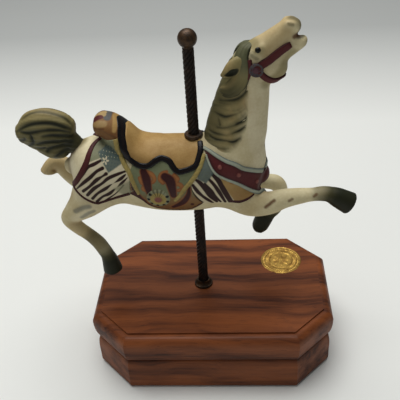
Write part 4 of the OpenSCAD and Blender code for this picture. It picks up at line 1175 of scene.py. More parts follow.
    def build(self) -> None:
        """Skins the form, paints it and darkens its hollows with painted shade."""
        clay = self.horse.clay
        points, faces = clay.skin()
        colour = self.coat(points)
        # Painted shade: umber darkens the hollows, where the form curves inwards round a point.
        reach = 2.2
        spread = np.mean([clay.at(points + reach * e) for e in np.vstack([np.eye(3), -np.eye(3)])],
                         axis=0) - clay.at(points)
        hollow = 1 - ease(spread, -0.5, 0.16)
        colour = blend(colour, Paint.UMBER, 0.6 * hollow)
        colour = blend(colour, Paint.MOSS, 1 - ease(self.horse.brush.at(points), 0.1, 1.3))
        self.horse.finished(Shell(points, faces, colour, points[:, [0, 2]] / 100.0),
                            "horse_figure", replaces=["horse"])


def stroke(points: Array, path: Curve, soft: float = 0.22) -> Array:
    """Share of a painted stroke at each point, with an edge softened over 2 x soft mm."""
    return 1 - ease(far_from(points, path), -soft, soft)


def inside(points: Array, corners: Curve, soft: float = 0.25) -> Array:
    """Share of a convex figure at each point: how far it lies within the corners' sides,
    seen from the side."""
    c = np.asarray(corners, float)[:, [0, 2]]
    d = np.roll(c, -1, 0) - c
    across = np.stack([d[:, 1], -d[:, 0]], 1) / np.linalg.norm(d, axis=1)[:, None]
    out = np.max([(points[:, [0, 2]] - p) @ n for p, n in zip(c, across)], axis=0)
    mean = c.mean(0)
    if max((mean - p) @ n for p, n in zip(c, across)) > 0:
        out = np.max([-(points[:, [0, 2]] - p) @ n for p, n in zip(c, across)], axis=0)
    return 1 - ease(out, -soft, soft)


@dataclass
class Hair:
    """Mane, forelock and tail, modelled in the casting with soft strands and a few creases.

    Attributes:
        horse: The form that they lie on.
        coat: Colour of the bare coat at any place.
        crest: Where the mane leaves the back of the neck.
        front: Where it ends on the side of the neck.
        mane: The mane's creases, as rows of x, y, z and depth.
        forelock: The big lock that falls from the poll, with its width.
        tail: The tail's creases, as the mane's.
    """

    horse: Horse
    coat: Callable[[Array], Array]
    crest: Curve = ((28, 0, 108), (22, 0, 98), (17, 0, 88), (14, 0, 80), (11.5, 0, 70),
                    (9.8, 0, 60), (8.5, -2, 55), (8, -6, 51))
    front: Curve = ((34.5, -7, 104), (36, -8, 93.5), (37.5, -9, 86), (38, -9.5, 78),
                    (38, -10, 70.5), (37, -11, 64), (34, -12, 57.5), (29, -13.5, 52),
                    (22.5, -14, 49))
    mane: tuple[Curve, ...] = (
        ((35.5, -7.5, 98, 0.6), (34.5, -8.5, 91, 1), (31.5, -8.5, 86.5, 1.1),
         (26.5, -8, 83.4, 1.2), (18.5, -5, 82, 1)),
        ((14.5, -0.5, 79, 0.3), (18.5, -6, 80.5, 0.4), (23, -7.5, 80.5, 0.4), (28.5, -9, 81.5, 0.2)),
        ((19, -6.5, 77.5, 0.2), (24, -8.5, 76.5, 0.3), (28.5, -9.5, 77.5, 0.3), (32.5, -9, 80, 0.2)),
        ((14, -3, 74.5, 0.5), (16.5, -6, 73.5, 0.9), (20.5, -8.5, 72.5, 1), (24, -9.5, 73.5, 0.8),
         (28, -10, 75, 0.3), (32.5, -9.5, 78, 0.3)),
        ((27.5, -10.5, 71, 0.2), (30.5, -10.5, 72.5, 0.4), (33, -10, 75, 0.3)),
        ((17, -7, 70.5, 0.5), (17.5, -8.5, 67, 0.6)),
        ((16, -8, 65, 0.6), (20.5, -10, 65.5, 0.6), (26, -10.5, 67.5, 0.8), (28.5, -11, 69, 1.1),
         (32, -10.5, 70.5, 1.1), (33.5, -10, 72.5, 0.8)),
        ((11, -5, 61.5, 0.6), (14, -8, 61, 0.8), (18, -10, 61, 0.7), (21.5, -11, 61, 0.4),
         (24, -11.3, 62, 0.5), (27, -11.5, 63.5, 0.9), (29.5, -11.5, 64.5, 1.1),
         (32.5, -11, 66.5, 0.8)),
        ((10.5, -6.5, 58.5, 0.6), (14, -9.5, 57.5, 0.9), (18, -11, 57.5, 0.9), (21.5, -12, 57.5, 0.7),
         (24, -12.5, 57, 1), (26.5, -12.5, 57.5, 1.1), (29, -12, 59, 0.8)),
        ((10.5, -10, 54.5, 0.3), (14.5, -12, 53, 0.5), (18.5, -13.5, 52.5, 0.5), (22, -14, 53, 0.3)))
    forelock: Curve = ((37.5, -1, 117, 4), (34.3, -2.5, 114.8, 8), (31, -5, 110, 9.6),
                       (30.5, -7, 104.5, 10.5), (30.3, -7.5, 99, 11.2), (28.5, -7.5, 93.5, 11.6),
                       (24.4, -7, 89.5, 11.4), (19.4, -4.5, 88, 9), (15.5, -0.5, 87.6, 3))
    tail: tuple[Curve, ...] = (
        ((-76.5, -3, 66, 0.4), (-79.5, -3, 71, 0.6), (-85.5, -3, 74.5, 0.5), (-94, -2.5, 76, 0.5),
         (-100.5, -2, 74, 0.5), (-106, -2, 70.5, 0.3)),
        ((-77.5, -4, 64.5, 0.6), (-81.5, -6, 67.5, 1.1), (-87.5, -6.5, 70, 1.1),
         (-93.5, -6.5, 70.5, 1), (-100, -5.5, 69.5, 1), (-106, -4.5, 67, 0.8), (-111, -2.5, 63, 0.4)),
        ((-78, -5, 63, 0.6), (-83, -7, 65.5, 0.8), (-88.5, -7.5, 66.3, 1), (-94, -7.5, 66, 0.8),
         (-99.5, -6.5, 65, 1), (-103, -6, 64.3, 1), (-108, -4, 64, 0.6)),
        ((-77.5, -4, 60, 1), (-82.5, -7, 62, 1.2), (-88.5, -8, 63, 1), (-94, -8, 62.5, 0.6)),
        ((-78, -5, 56, 1.4), (-82, -7, 57.5, 1.6), (-88, -8, 58.5, 1.4), (-94, -8, 58, 1.2),
         (-99, -7, 56.5, 0.8)),
        ((-102, -6.5, 64, 0.6), (-101.5, -7, 58.5, 1.2), (-103, -6.5, 56, 1), (-105, -5, 54.5, 0.8)),
        ((-106.5, -5.5, 60, 0.7), (-109, -4, 58, 0.8), (-112, -3, 58, 0.4)),
        ((-79, -5, 54, 1.2), (-84, -6, 54.5, 1.3), (-88.5, -7, 54, 1.4), (-92.5, -6.5, 52.5, 1.4),
         (-94.5, -6, 50, 0.8)),
        ((-95, -5.5, 54, 0.8), (-97.5, -5.5, 53, 0.9), (-101.5, -4.5, 53.5, 0.5)),
        ((-81, -5, 51, 1), (-85, -5.5, 49, 1.2), (-89, -5.5, 46.5, 1), (-91, -5, 44, 0.6)))

    @staticmethod
    def pressed(points: Array, creases: Sequence[Curve], width: float) -> Array:
        """Depth of the deepest crease at each point: at a distance d from its middle it is
        its own depth there times exp(-(d / width)^2)."""
        deepest = np.zeros(len(points))
        for path in creases:
            c = through(path, 3)
            for p, q in zip(c[:-1], c[1:]):
                d = q[:3] - p[:3]
                t = np.clip((points - p[:3]) @ d / max(d @ d, 1e-9), 0.0, 1.0)
                apart = np.linalg.norm(points - p[:3] - t[:, None] * d, axis=1)
                deep = p[3] + t * (q[3] - p[3])
                deepest = np.maximum(deepest, deep * np.exp(-(apart / width) ** 2))
        return deepest

    def sheet(self, side: int) -> Shell:
        """The mane: a panel that sinks into the neck along its front edge, pressed by the
        creases, with faint strands that leave the crest, sag by the parabola 4v(1 - v) and
        rise again."""
        rows, cols = 200, 90
        a, b = even(self.crest, rows), even(self.front, rows)
        u, v = unit_grid(rows, cols)
        grid = a[:, None] * (1 - v[..., None]) + b[:, None] * v[..., None]
        grid[..., 1] -= 9 * np.sin(np.pi * v) ** 0.7
        near = self.horse.clay.settle(grid, 0.4)
        flatness = near.reshape(-1, 3)
        deep = self.pressed(flatness, self.mane, 0.85).reshape(u.shape)
        wide = self.pressed(flatness, self.mane, 2.2).reshape(u.shape)
        phase = 11 * (u + 0.09 * 4 * v * (1 - v) + 0.02 * np.sin(9 * v + 20 * u))
        strand = np.sin(2 * np.pi * phase) * np.sin(5 * v + 9 * u)
        fade = 1 - ease(v, 0.8, 0.98)
        deep, wide = deep * fade, wide * fade
        rim = ease(np.minimum(np.minimum(u * 12, (1 - u) * 5), (1 - v) * 2.6), 0, 1)
        top = rim * (1.35 + 0.13 * strand - 0.85 * deep) - 0.35
        colour = self.coat(flatness).reshape(*u.shape, 3)
        cloud = 0.5 + 0.5 * np.sin(13 * u + 3 * v) * np.cos(8 * v - 17 * u)
        low = ease(1 - v, 0.06, 0.5) * (0.75 + 0.25 * cloud)
        colour = blend(colour, Paint.KHAKI, low * ease(1 - u, 0, 0.12))
        # Painted shade: olive darkens the strip along the crest; the strand term adds faint olive
        # strands.
        colour = blend(colour, Paint.OLIVE,
                       (0.75 * ease(1 - v, 0.6, 1.0) + 0.2 * ease(strand, 0.2, 1.0)) * fade)
        warm = 0.4 * ease(cloud, 0.45, 0.8)
        colour = blend(colour, Paint.HONEY, warm * ease(0.35 - np.abs(v - 0.55), 0, 0.2))
        # Painted shade in the creases: an olive margin round a moss core.
        colour = blend(colour, Paint.OLIVE, np.clip(0.75 * wide, 0, 0.75))
        colour = blend(colour, Paint.MOSS, np.clip(1.15 * deep - 0.12, 0, 1))
        turned = near * (1, side, 1)
        return Shell.slab(self.horse.clay.settle(turned, top),
                          self.horse.clay.settle(turned, -1.0), colour)

    def lobe(self, side: int) -> Shell:
        """The forelock: one broad smooth lock, domed by the root of 1 - s^2, with three
        shallow furrows."""
        furrows = ((-0.5, 0.2), (0.05, 0.5), (0.55, 1.0))

        def shade(t: Array, s: Array) -> Array:
            """Depth of the furrows, from 0 to 1."""
            wander = 0.12 * np.sin(6 * t)
            return np.max([np.exp(-((s - at - wander) / 0.13) ** 2) * (0.5 + 0.5 * np.cos(5 * t + k))
                           for at, k in furrows], axis=0)

        def lift(t: Array, s: Array) -> Array:
            """Height above the form."""
            ends = ease(t, 0, 0.15) * (0.45 + 0.55 * ease(1 - t, 0, 0.25))
            return 2.5 * ends * np.clip(1 - s * s, 0, 1) ** 0.45 * (1 - 0.22 * shade(t, s)) - 0.35

        def paint(t: Array, s: Array) -> Array:
            """Grey green above, khaki below, with painted shade along the edges and in the furrows and
            a painted shadow along the lock's lower end.
            """
            colour = blend(Paint.FERN, Paint.KHAKI, ease(t, 0.3, 0.6))
            colour = blend(colour, Paint.OLIVE, 0.85 * ease(t, 0.45, 0.75))
            colour = blend(colour, Paint.DUN, 0.5 * np.exp(-((np.abs(s + 0.45)) / 0.25) ** 2)
                           * ease(t, 0.3, 0.6))
            # Painted shade in the furrows and along the edges, and a painted shadow along the lock's
            # lower end.
            colour = blend(colour, Paint.OLIVE, 0.7 * shade(t, s))
            colour = blend(colour, Paint.MOSS, 0.7 * ease(t, 0.72, 0.85) * ease(s, -0.2, 0.9))
            return blend(colour, Paint.MOSS, ease(np.abs(s), 0.72, 0.98))

        return self.horse.ribbon(self.forelock, lift, paint, side, 130, 35)

    def brush(self) -> Shell:
        """The tail: its body modelled again on a finer grid, pressed by the creases on both
        sides, olive below and towards the root."""
        clay = self.horse.brush
        clay.values -= 0.7
        space = np.stack(np.meshgrid(*clay.axes, indexing="ij"), -1).reshape(-1, 3)
        close = np.abs(clay.values.ravel()) < 3.5
        near = space[close] * (1, -1, 1)
        near[:, 1] = -np.abs(near[:, 1])
        on = [[[*q, p[3]] for q, p in zip(clay.settle(np.array(path)[:, :3]), path)]
              for path in self.tail]
        deep = self.pressed(near, on, 1.0)
        fan = np.arctan2(near[:, 2] - 57, np.hypot(near[:, 1], 1.0) + 3)
        strand = np.sin(26 * fan + 0.09 * near[:, 0]) * ease(np.abs(near[:, 1]), 0.5, 3)
        clay.values.ravel()[close] += 1.1 * deep + 0.15 * strand
        points, faces = clay.skin()
        side = points * (1, -1, 1)
        side[:, 1] = -np.abs(side[:, 1])
        # Painted shade in the creases: an olive margin, then moss and black at the core.
        dark, crease_shade_halo = (self.pressed(side, on, w) for w in (1.1, 2.6))
        colour = blend(Paint.DUN, Paint.KHAKI, ease(75 - points[:, 2], -3, 4))
        colour = blend(colour, Paint.OLIVE, 0.45 * ease(68 - points[:, 2], -2, 9))
        colour = blend(colour, Paint.OLIVE, np.clip(1.1 * crease_shade_halo - 0.15, 0, 0.9))
        root = np.linalg.norm(points - (-77, 0, 50), axis=1)
        colour = blend(colour, Paint.MOSS, 0.85 * (1 - ease(root, 6, 15)))
        colour = blend(colour, Paint.OLIVE, 0.15 * ease(np.sin(4.1 * points[:, 2]
                       + 0.25 * points[:, 0]), 0, 1))
        colour = blend(colour, Paint.MOSS, np.clip(1.8 * dark - 0.2, 0, 1))
        colour = blend(colour, Paint.BLACK, np.clip(1.6 * dark - 0.9, 0, 0.7))
        return Shell(points, faces, colour, points[:, [0, 2]] / 100.0)

    def build(self) -> None:
        """Lays the mane and the forelock on both sides, and models the tail."""
        self.horse.both(self.sheet, "mane")
        self.horse.both(self.lobe, "forelock")
        self.horse.finished(self.brush(), "tail")


@dataclass
class Saddle:
    """Saddle seat of tan leather with its black rolled border and the high cantle.

    Attributes:
        horse: The form that it lies on.
        edge: Near edge of the seat from the front to the cantle.
        cantle: How the border goes on, up to the middle of the cantle.
    """

    horse: Horse
    edge: Curve = ((4, -6, 54), (4.5, -10, 51), (3.5, -13.5, 47.5), (1.5, -16, 43),
                   (-2, -17, 41), (-5.5, -17.5, 40), (-9, -18, 39.5), (-11.5, -17.5, 40.5),
                   (-13.5, -16, 43), (-15.5, -14.5, 45.5), (-20, -13.5, 47), (-23.5, -15, 46.5),
                   (-28.5, -16, 43.5), (-33.5, -16, 43.5), (-37.5, -15, 45.5), (-40.5, -13, 48),
                   (-43, -13.5, 53.5))
    cantle: Curve = ((-43.3, -13.2, 54.5), (-43.5, -12, 59), (-44, -9.5, 62.5), (-44.2, -5.5, 65.5),
                     (-45, -1.5, 67.5), (-45, 0, 67.8))

    def seat(self) -> Shell:
        """The leather: each row goes from the near edge over the back to the far one, by
        angle about a line in the body, and is laid on the form from outside."""
        rows, cols = 150, 90
        c = even(self.edge, rows)
        angle = np.arctan2(c[:, 2] - 30, -c[:, 1])[:, None]
        v = np.linspace(0, 1, cols)[None, :]
        a = angle + (np.pi - 2 * angle) * v
        heading = np.stack([0 * a, np.cos(a), -np.sin(a)], -1)
        start = np.stack([c[:, :1] + 0 * a, 0 * a, 30 + 0 * a], -1) - 60 * heading
        on = self.horse.clay.land(start, heading)
        t = np.linspace(0, 1, rows)[:, None] + 0 * v
        rim = ease(np.minimum(np.minimum(t, 1 - t) * 20, np.minimum(v, 1 - v) * 20), 0, 1)
        shade = ease(np.abs(v - 0.5) + 0 * t, 0.2, 0.5)
        colour = blend(Paint.SADDLE, Paint.CANTLE, 0.35 * shade)
        return Shell.slab(self.horse.clay.settle(on, 0.3 + 0.7 * rim),
                          self.horse.clay.settle(on, -0.7), colour)

    def panels(self) -> Shell:
        """The cantle's painted leather: rows round its back, each point landed on the form
        from outside, with a wine oval in a pale rim, a grey patch, a tawny flank over a
        pale roll, and a rosy leaf below."""
        rows, cols = 110, 180
        x, a = np.meshgrid(np.linspace(-62.8, -43, rows), np.linspace(0, np.pi, cols),
                           indexing="ij")
        middle = np.interp(x, (-62.8, -56, -50, -43), (65.5, 64.5, 61, 56))
        heading = np.stack([0 * a, np.cos(a), -np.sin(a)], -1)
        on = self.horse.clay.land(np.stack([x, 0 * a, middle], -1) - 40 * heading, heading)
        at = (on * (1, 0, 1)).reshape(-1, 3)
        at[:, 1] = -np.abs(on.reshape(-1, 3)[:, 1])
        colour = spread_over(Paint.CANTLE, at.shape)
        colour = blend(colour, Paint.UMBER, 0.6 * ease(68 - at[:, 2], -1, 5))
        colour = blend(colour, Paint.HONEY, 0.55 * stroke(
            at, ((-65, 0, 66, 4), (-62.5, -3, 67, 4), (-58, -7.5, 69, 4.5), (-54.5, -8, 69.5, 4)), 0.8))
        colour = blend(colour, Paint.UMBER, 0.8 * stroke(
            at, ((-64, -3, 64.5, 1), (-60, -8, 66.5, 1.2), (-55, -10, 67, 1.2)), 0.5))
        colour = blend(colour, Paint.SADDLE, stroke(at, ((-48.6, 0, 71, 3.4),
                                                             (-48.2, -6.5, 68, 3.4),
                                                             (-48.5, -10, 65.5, 2.4)), 0.6))
        colour = blend(colour, Paint.SLATE, 0.8 * stroke(at, ((-53, 0, 72.5, 5.4),
                                                              (-53, -4, 71.5, 4.6)), 0.4))
        colour = blend(colour, Paint.HONEY, 0.9 * stroke(at, ((-63, 0, 68, 5.6),
                                                                  (-60, -1.5, 71, 6.2),
                                                                  (-56.5, -1.5, 72.5, 5.4)), 0.4))
        colour = blend(colour, Paint.BURGUNDY, stroke(at, ((-62.6, -2.2, 69, 3.6),
                                                               (-60, -3.6, 70.6, 4.6),
                                                               (-57, -4, 71.6, 3.6)), 0.4))
        rim = ease(np.minimum(np.minimum(x + 62.8, -43 - x), 4 * np.minimum(a, np.pi - a)), 0, 1)
        top = self.horse.clay.settle(on, 0.65 * rim - 0.25)
        return Shell.slab(top, self.horse.clay.settle(on, -0.8),
                          colour.reshape(on.shape))

    def build(self) -> None:
        """Makes the seat, the cantle's painted panels and the rolled border, which is cut
        flat where it crosses the cantle's top."""
        self.horse.finished(self.seat(), "saddle_seat", LEATHER)
        self.horse.finished(self.panels(), "cantle_panels", LEATHER)
        path = widened(self.edge, 3.8, 4.2, 4.2, 4.6) + widened(self.cantle, 5, 7, 7.4)

        def lift(t: Array, s: Array) -> Array:
            """Height: the fourth root dome, lower about the middle of the path."""
            low = 1 - ease(np.abs(t - 0.5), 0.05, 0.14)
            return 0.2 + (1.5 - 1.0 * low) * np.clip(1 - s**4, 0, 1) ** 0.5

        def paint(t: Array, s: Array) -> Array:
            """Black, with a faint painted highlight along the crown."""
            # Painted highlight: a faint umber along the crown.
            return blend(Paint.BLACK, Paint.UMBER, 0.05 * ease(1 - np.abs(s), 0.5, 1))

        roll = self.horse.ribbon(path + mirrored(path), lift, paint, rows=420, cols=15)
        self.horse.finished(roll, "saddle_border", ENAMEL)


@dataclass
class Trappings:
    """The blanket's painted panels, the straps, the breast collar and the bridle.

    Attributes:
        horse: The form that they lie on.
    """

    horse: Horse
    crupper: Curve = ((-60.5, -2, 57.5), (-63.6, -6.5, 54.5), (-65.6, -11, 50.5),
                      (-67.6, -14.5, 46), (-71.4, -16.5, 40), (-75.6, -16, 33.5),
                      (-79, -14.5, 29.5))
    rear_hem: Curve = ((-79.5, -14.5, 29.5), (-76, -18.5, 26), (-71, -20.5, 22),
                       (-64.5, -20.5, 18.5), (-61.5, -20, 19), (-52, -19, 21.5),
                       (-42.5, -19, 24.5))
    rear_rope: Curve = ((-48, -12.5, 61), (-47, -11.5, 55), (-45.5, -13, 48), (-43.5, -16, 44),
                        (-41, -18, 39.5), (-39.5, -19, 34.5), (-37.5, -19.5, 28.5))
    front_rope: Curve = ((7, -12.5, 48.5), (6, -13.5, 46.5), (4, -16.5, 42), (1, -18.5, 37),
                         (-2.5, -19.5, 32.5), (-6, -20, 28.5), (-9.5, -20, 23.5),
                         (-13.5, -19, 18.5))
    zebra: tuple[Curve, ...] = (
        ((-78.5, -15.5, 30, 0.8), (-71.5, -17.5, 38, 1.8), (-67, -16.5, 43.5, 1.9),
         (-63, -16.5, 45.5, 2.2), (-58.5, -15.5, 47.5, 1.6)),
        ((-76.5, -17.5, 28, 0.8), (-71, -19, 33.5, 2.2), (-66, -19, 37.5, 2.3),
         (-61.5, -18.5, 41.5, 1.9), (-57.5, -18, 43.5, 2.2)),
        ((-72, -19.5, 27.5, 2), (-67, -20, 31.5, 1.8), (-62, -19.5, 36, 2.4),
         (-58, -19.5, 38.5, 1.2), (-55.5, -19, 40, 2.2)),
        ((-69.5, -20.5, 25, 2), (-64.5, -20.5, 30, 2.4), (-59, -20, 33.5, 1.7),
         (-54.5, -19.5, 37, 2.2), (-49, -18.5, 39, 2), (-43.5, -17.5, 40.5, 1.2)),
        ((-66.5, -20.5, 22.5, 2), (-62.5, -20.5, 26.5, 1.7), (-57.5, -20.5, 29.5, 2.3),
         (-53.6, -20, 32.3, 1), (-51.5, -20, 33.4, 0.2), (-47, -19.5, 36, 2.2),
         (-43.5, -18, 38.5, 1)),
        ((-64, -20.5, 20, 2), (-60, -20.5, 23.5, 1.7), (-55.5, -20, 25.5, 2.4),
         (-52, -20, 28.4, 1.4), (-50, -20, 30, 0.2), (-46.5, -19.5, 33, 1.8),
         (-42.5, -18.5, 36.5, 0.6)),
        ((-61, -20, 18.8, 0.8), (-56, -19.5, 22, 1.2), (-51, -19.5, 25.5, 0.8),
         (-45.5, -19.5, 31.5, 1)))
    front_zebra: tuple[Curve, ...] = (
        ((-2.5, -20, 27.5, 0.9), (-1, -20, 23.5, 1.4), (1.5, -19, 19.5, 1.2),
         (4.5, -18, 16, 0.8)),
        ((-1, -20, 30.5, 1.5), (1.5, -20, 26, 2), (4.5, -19.5, 22, 1.6), (8, -18.5, 18, 1.8),
         (11.5, -17, 14, 1)),
        ((0.5, -19, 34.5, 1.2), (4, -19.5, 31.5, 2.2), (7, -20, 26.5, 2.2),
         (10, -19, 21, 2.4), (13.5, -17.5, 16, 1.6)),
        ((6.5, -19.5, 31.5, 1), (10, -19.5, 26, 2), (12.5, -18.5, 21, 1.7), (16, -17.5, 16, 1.2)),
        ((9.5, -19, 34, 1.4), (12.5, -19.5, 30, 1.7), (15.5, -19, 24, 2), (19, -18, 16, 1.4)),
        ((12, -18.5, 37, 1.8), (15.5, -19, 32.5, 2.6), (18.5, -19, 25.5, 2.8),
         (22.5, -18, 16.5, 2.6)))
    scrolls: tuple[Curve, ...] = (
        ((-29.5, -19.5, 25.5, 3.4), (-30, -19.5, 31, 4.8), (-30.5, -19, 36, 5.4),
         (-32, -17.5, 40, 4)),
        ((-14, -20, 23, 3.8), (-14.5, -20, 28.5, 5.2), (-15.5, -19.5, 34, 6.2),
         (-18.5, -18.5, 36.5, 5)))
    curls: tuple[Curve, ...] = (
        ((-34.5, -18.5, 36, 1.6), (-33.5, -19, 33, 2.2), (-31.5, -19.5, 31.5, 1.6),
         (-33, -19.5, 28.5, 2.4), (-31, -19.5, 27, 1.6)),
        ((-29.5, -18, 40, 1.4), (-26.5, -18, 38, 2), (-25.2, -18.5, 35, 2), (-26.5, -19, 33, 1.2)),
        ((-17, -18.5, 40, 1.4), (-20.5, -18, 38, 2), (-21.7, -19, 35, 2), (-20, -19.5, 32.5, 1.2)),
        ((-12.5, -18.5, 37.5, 1.2), (-10.5, -19, 35, 1.8), (-12.2, -19.5, 32, 1.6),
         (-9, -19.5, 31, 2.2), (-8, -20, 28, 1.8), (-10.5, -20, 27, 1.2)))
    leaves: tuple[Curve, ...] = (
        ((-39.8, -19.5, 32, 1.8), (-39, -19, 27, 3.2), (-35.6, -17.5, 21.5, 3.4),
         (-30.5, -16, 15.5, 2)),
        ((-3.5, -20, 29, 1.4), (-4.5, -19.5, 23, 3), (-8.5, -18.5, 16.5, 4),
         (-15, -16.5, 12, 3)))
    top_collar: Curve = ((6.5, -10, 52), (10.5, -12.5, 50.5), (15.5, -15, 48),
                         (20.5, -16.5, 45.5), (26, -16.5, 43), (31, -16, 39.5), (36, -14, 37),
                         (40.5, -10.5, 34.5), (43.5, -8, 33), (45, -5, 33), (45.6, 0, 33.5))
    low_collar: Curve = ((8, -13, 48.5), (10.5, -17, 42.5), (14, -18.5, 37.5), (19.5, -19, 34),
                         (24, -18.5, 31.5), (28, -18, 29), (34, -17, 24.5), (40.5, -13.5, 19),
                         (44.5, -8, 15.5), (45.5, 0, 14))
    studs: Curve = ((16.5, -17.5, 42), (28, -17.5, 36), (39, -13, 28))
    cheek: Curve = ((39.5, -8, 102.5), (43, -8, 105), (46.5, -7, 107), (50, -6.5, 109.5),
                    (53.5, -5.5, 112), (57, -5, 114), (59.4, -4, 115.2))
    throat: Curve = ((41.5, -8, 101), (43, -7.5, 98.5), (45.5, -7, 96), (49, -5.5, 93.8),
                     (52.5, -3, 93.5), (54.5, -1.5, 95), (55.5, 0, 96))
    behind: Curve = ((35.5, -7.5, 108), (36, -7.5, 105), (36, -8, 102), (35, -7.5, 98.5),
                     (34, -7.5, 96))

    def rear_paint(self, at: Array) -> Array:
        """Grey-green cloth, then pale zebra ground with its stripes, and a starred patch."""
        colour = spread_over(Paint.CLOTH, at.shape)
        ground = ((-80, 0, 29), (-73, 0, 38.5), (-66, 0, 46.5), (-57, 0, 49.5), (-40, 0, 44.5),
                  (-36, 0, 30), (-46, 0, 22), (-64.5, 0, 16.5))
        colour = blend(colour, Paint.CHALK, inside(at, ground))
        for path in self.zebra:
            colour = blend(colour, Paint.STRIPE, stroke(at, [[*q[:3], 1.08 * q[3]] for q in path]))
        corner = ((-52, 0, 29.5), (-38, 0, 36), (-36, 0, 20), (-46, 0, 23))
        colour = blend(colour, Paint.CLOTH, 0.7 * inside(at, corner, 1.2))
        patch = ((-60, 0, 51.5), (-51.5, 0, 56), (-44.5, 0, 45.5), (-54, 0, 40.5))
        colour = blend(colour, Paint.TEAL, 0.9 * inside(at, patch, 0.5))
        x, z = at[:, 0] + 52, at[:, 2] - 48
        weave = np.sin((0.85 * x + 0.5 * z) * 2.4) * np.sin((0.5 * x - 0.85 * z) * 2.4)
        colour = blend(colour, Paint.SLATE, 0.55 * inside(at, patch, 0.5) * ease(weave, 0.2, 0.9))
        colour = blend(colour, Paint.CHALK,
                       0.9 * inside(at, patch, 0.5) * ease(-weave, 0.82, 0.97) * (z > 0))
        star = np.hypot(at[:, 0] + 55.5, at[:, 2] - 47.5)
        turn = np.arctan2(at[:, 2] - 47.5, at[:, 0] + 55.5)
        colour = blend(colour, Paint.CHALK,
                       1 - ease(star - 1.5 - 0.8 * np.cos(5 * turn + 0.6), -0.15, 0.15))
        colour = blend(colour, Paint.TEAL, 1 - ease(star, 0.4, 0.6))
        return colour

    def middle_paint(self, at: Array) -> Array:
        """Grey-green field over a brown skirt, with wine scrolls edged in rust, leaves, dark
        dots and a dark scalloped hem."""
        colour = blend(Paint.CELADON, Paint.CANTLE, 0.9 * ease(-at[:, 2], -27, -19))
        colour = blend(colour, Paint.UMBER, 0.6 * ease(-at[:, 2], -19, -9))
        for path in self.curls:
            colour = blend(colour, Paint.RUST, stroke(at, widened(path, 2.6, 3.2, 2.6)))
            colour = blend(colour, Paint.AMBER, stroke(at, path, 0.4))
        for path in self.leaves + self.scrolls:
            wide = [[*p[:3], p[3] + 1.1] for p in path]
            colour = blend(colour, Paint.RUST, stroke(at, wide, 0.4))
            colour = blend(colour, Paint.WINE, stroke(at, path, 0.5))
        for spot in ((-43.5, -18, 21.5), (-2.5, -17.5, 14.5)):
            colour = blend(colour, Paint.WINE, stroke(at, [[*spot, 2.6]], 0.3))
        hem = far_from(at, ((-42.5, -19, 24.5), (-35.5, -18, 19), (-30.5, -16, 12.5),
                            (-24.5, -14.5, 9), (-14.5, -13.5, 7), (-4.5, -14, 7.5),
                            (4.5, -17.5, 14)))
        scallop = 1.4 + 0.8 * np.abs(np.sin(0.9 * at[:, 0]))
        return blend(colour, Paint.WINE, 1 - ease(hem - scallop, -0.2, 0.2))

    def front_paint(self, at: Array) -> Array:
        """Zebra ground with its stripes, a teal patch and a tawny flap with its hem."""
        colour = spread_over(Paint.CHALK, at.shape)
        for path in self.front_zebra:
            colour = blend(colour, Paint.STRIPE, stroke(at, [[*q[:3], 1.35 * q[3]] for q in path]))
        flap = ((13, 0, 40.5), (16.5, 0, 33.5), (19.5, 0, 26.5), (24, 0, 14), (42, 0, 14),
                (42, 0, 40.5))
        colour = blend(colour, Paint.SADDLE, inside(at, flap))
        colour = blend(colour, Paint.UMBER, 0.35 * inside(at, flap, 4) * ease(25 - at[:, 2], -6, 6))
        for path in (((17, -19, 35, 1), (20, -19, 33.5, 1.8), (23, -18.5, 33, 1)),
                     ((22, -19, 30.5, 1), (25, -18.5, 30, 1.6), (28.5, -18, 29.5, 0.8))):
            colour = blend(colour, Paint.RUST, stroke(at, path, 0.5))
        low = ((22.5, -18, 16.2, 2.4), (27.5, -18.5, 15.8, 2.2), (31, -18.5, 16.6, 2),
               (34.5, -18.5, 18.5, 1.8), (38, -17, 20.5, 1.6))
        colour = blend(colour, Paint.WINE, stroke(at, low))
        patch = ((1.5, 0, 38), (7, 0, 47.5), (13.5, 0, 39.5), (7.5, 0, 31.5), (2.2, 0, 34.5))
        x, z = at[:, 0] - 6, at[:, 2] - 40
        weave = np.sin((0.6 * x + 0.8 * z) * 1.7) * np.sin((0.8 * x - 0.6 * z) * 1.7)
        teal = blend(Paint.TEAL, Paint.SLATE, 0.6 * ease(weave, -0.1, 0.6))
        return blend(colour, teal, 0.9 * inside(at, patch, 0.5))

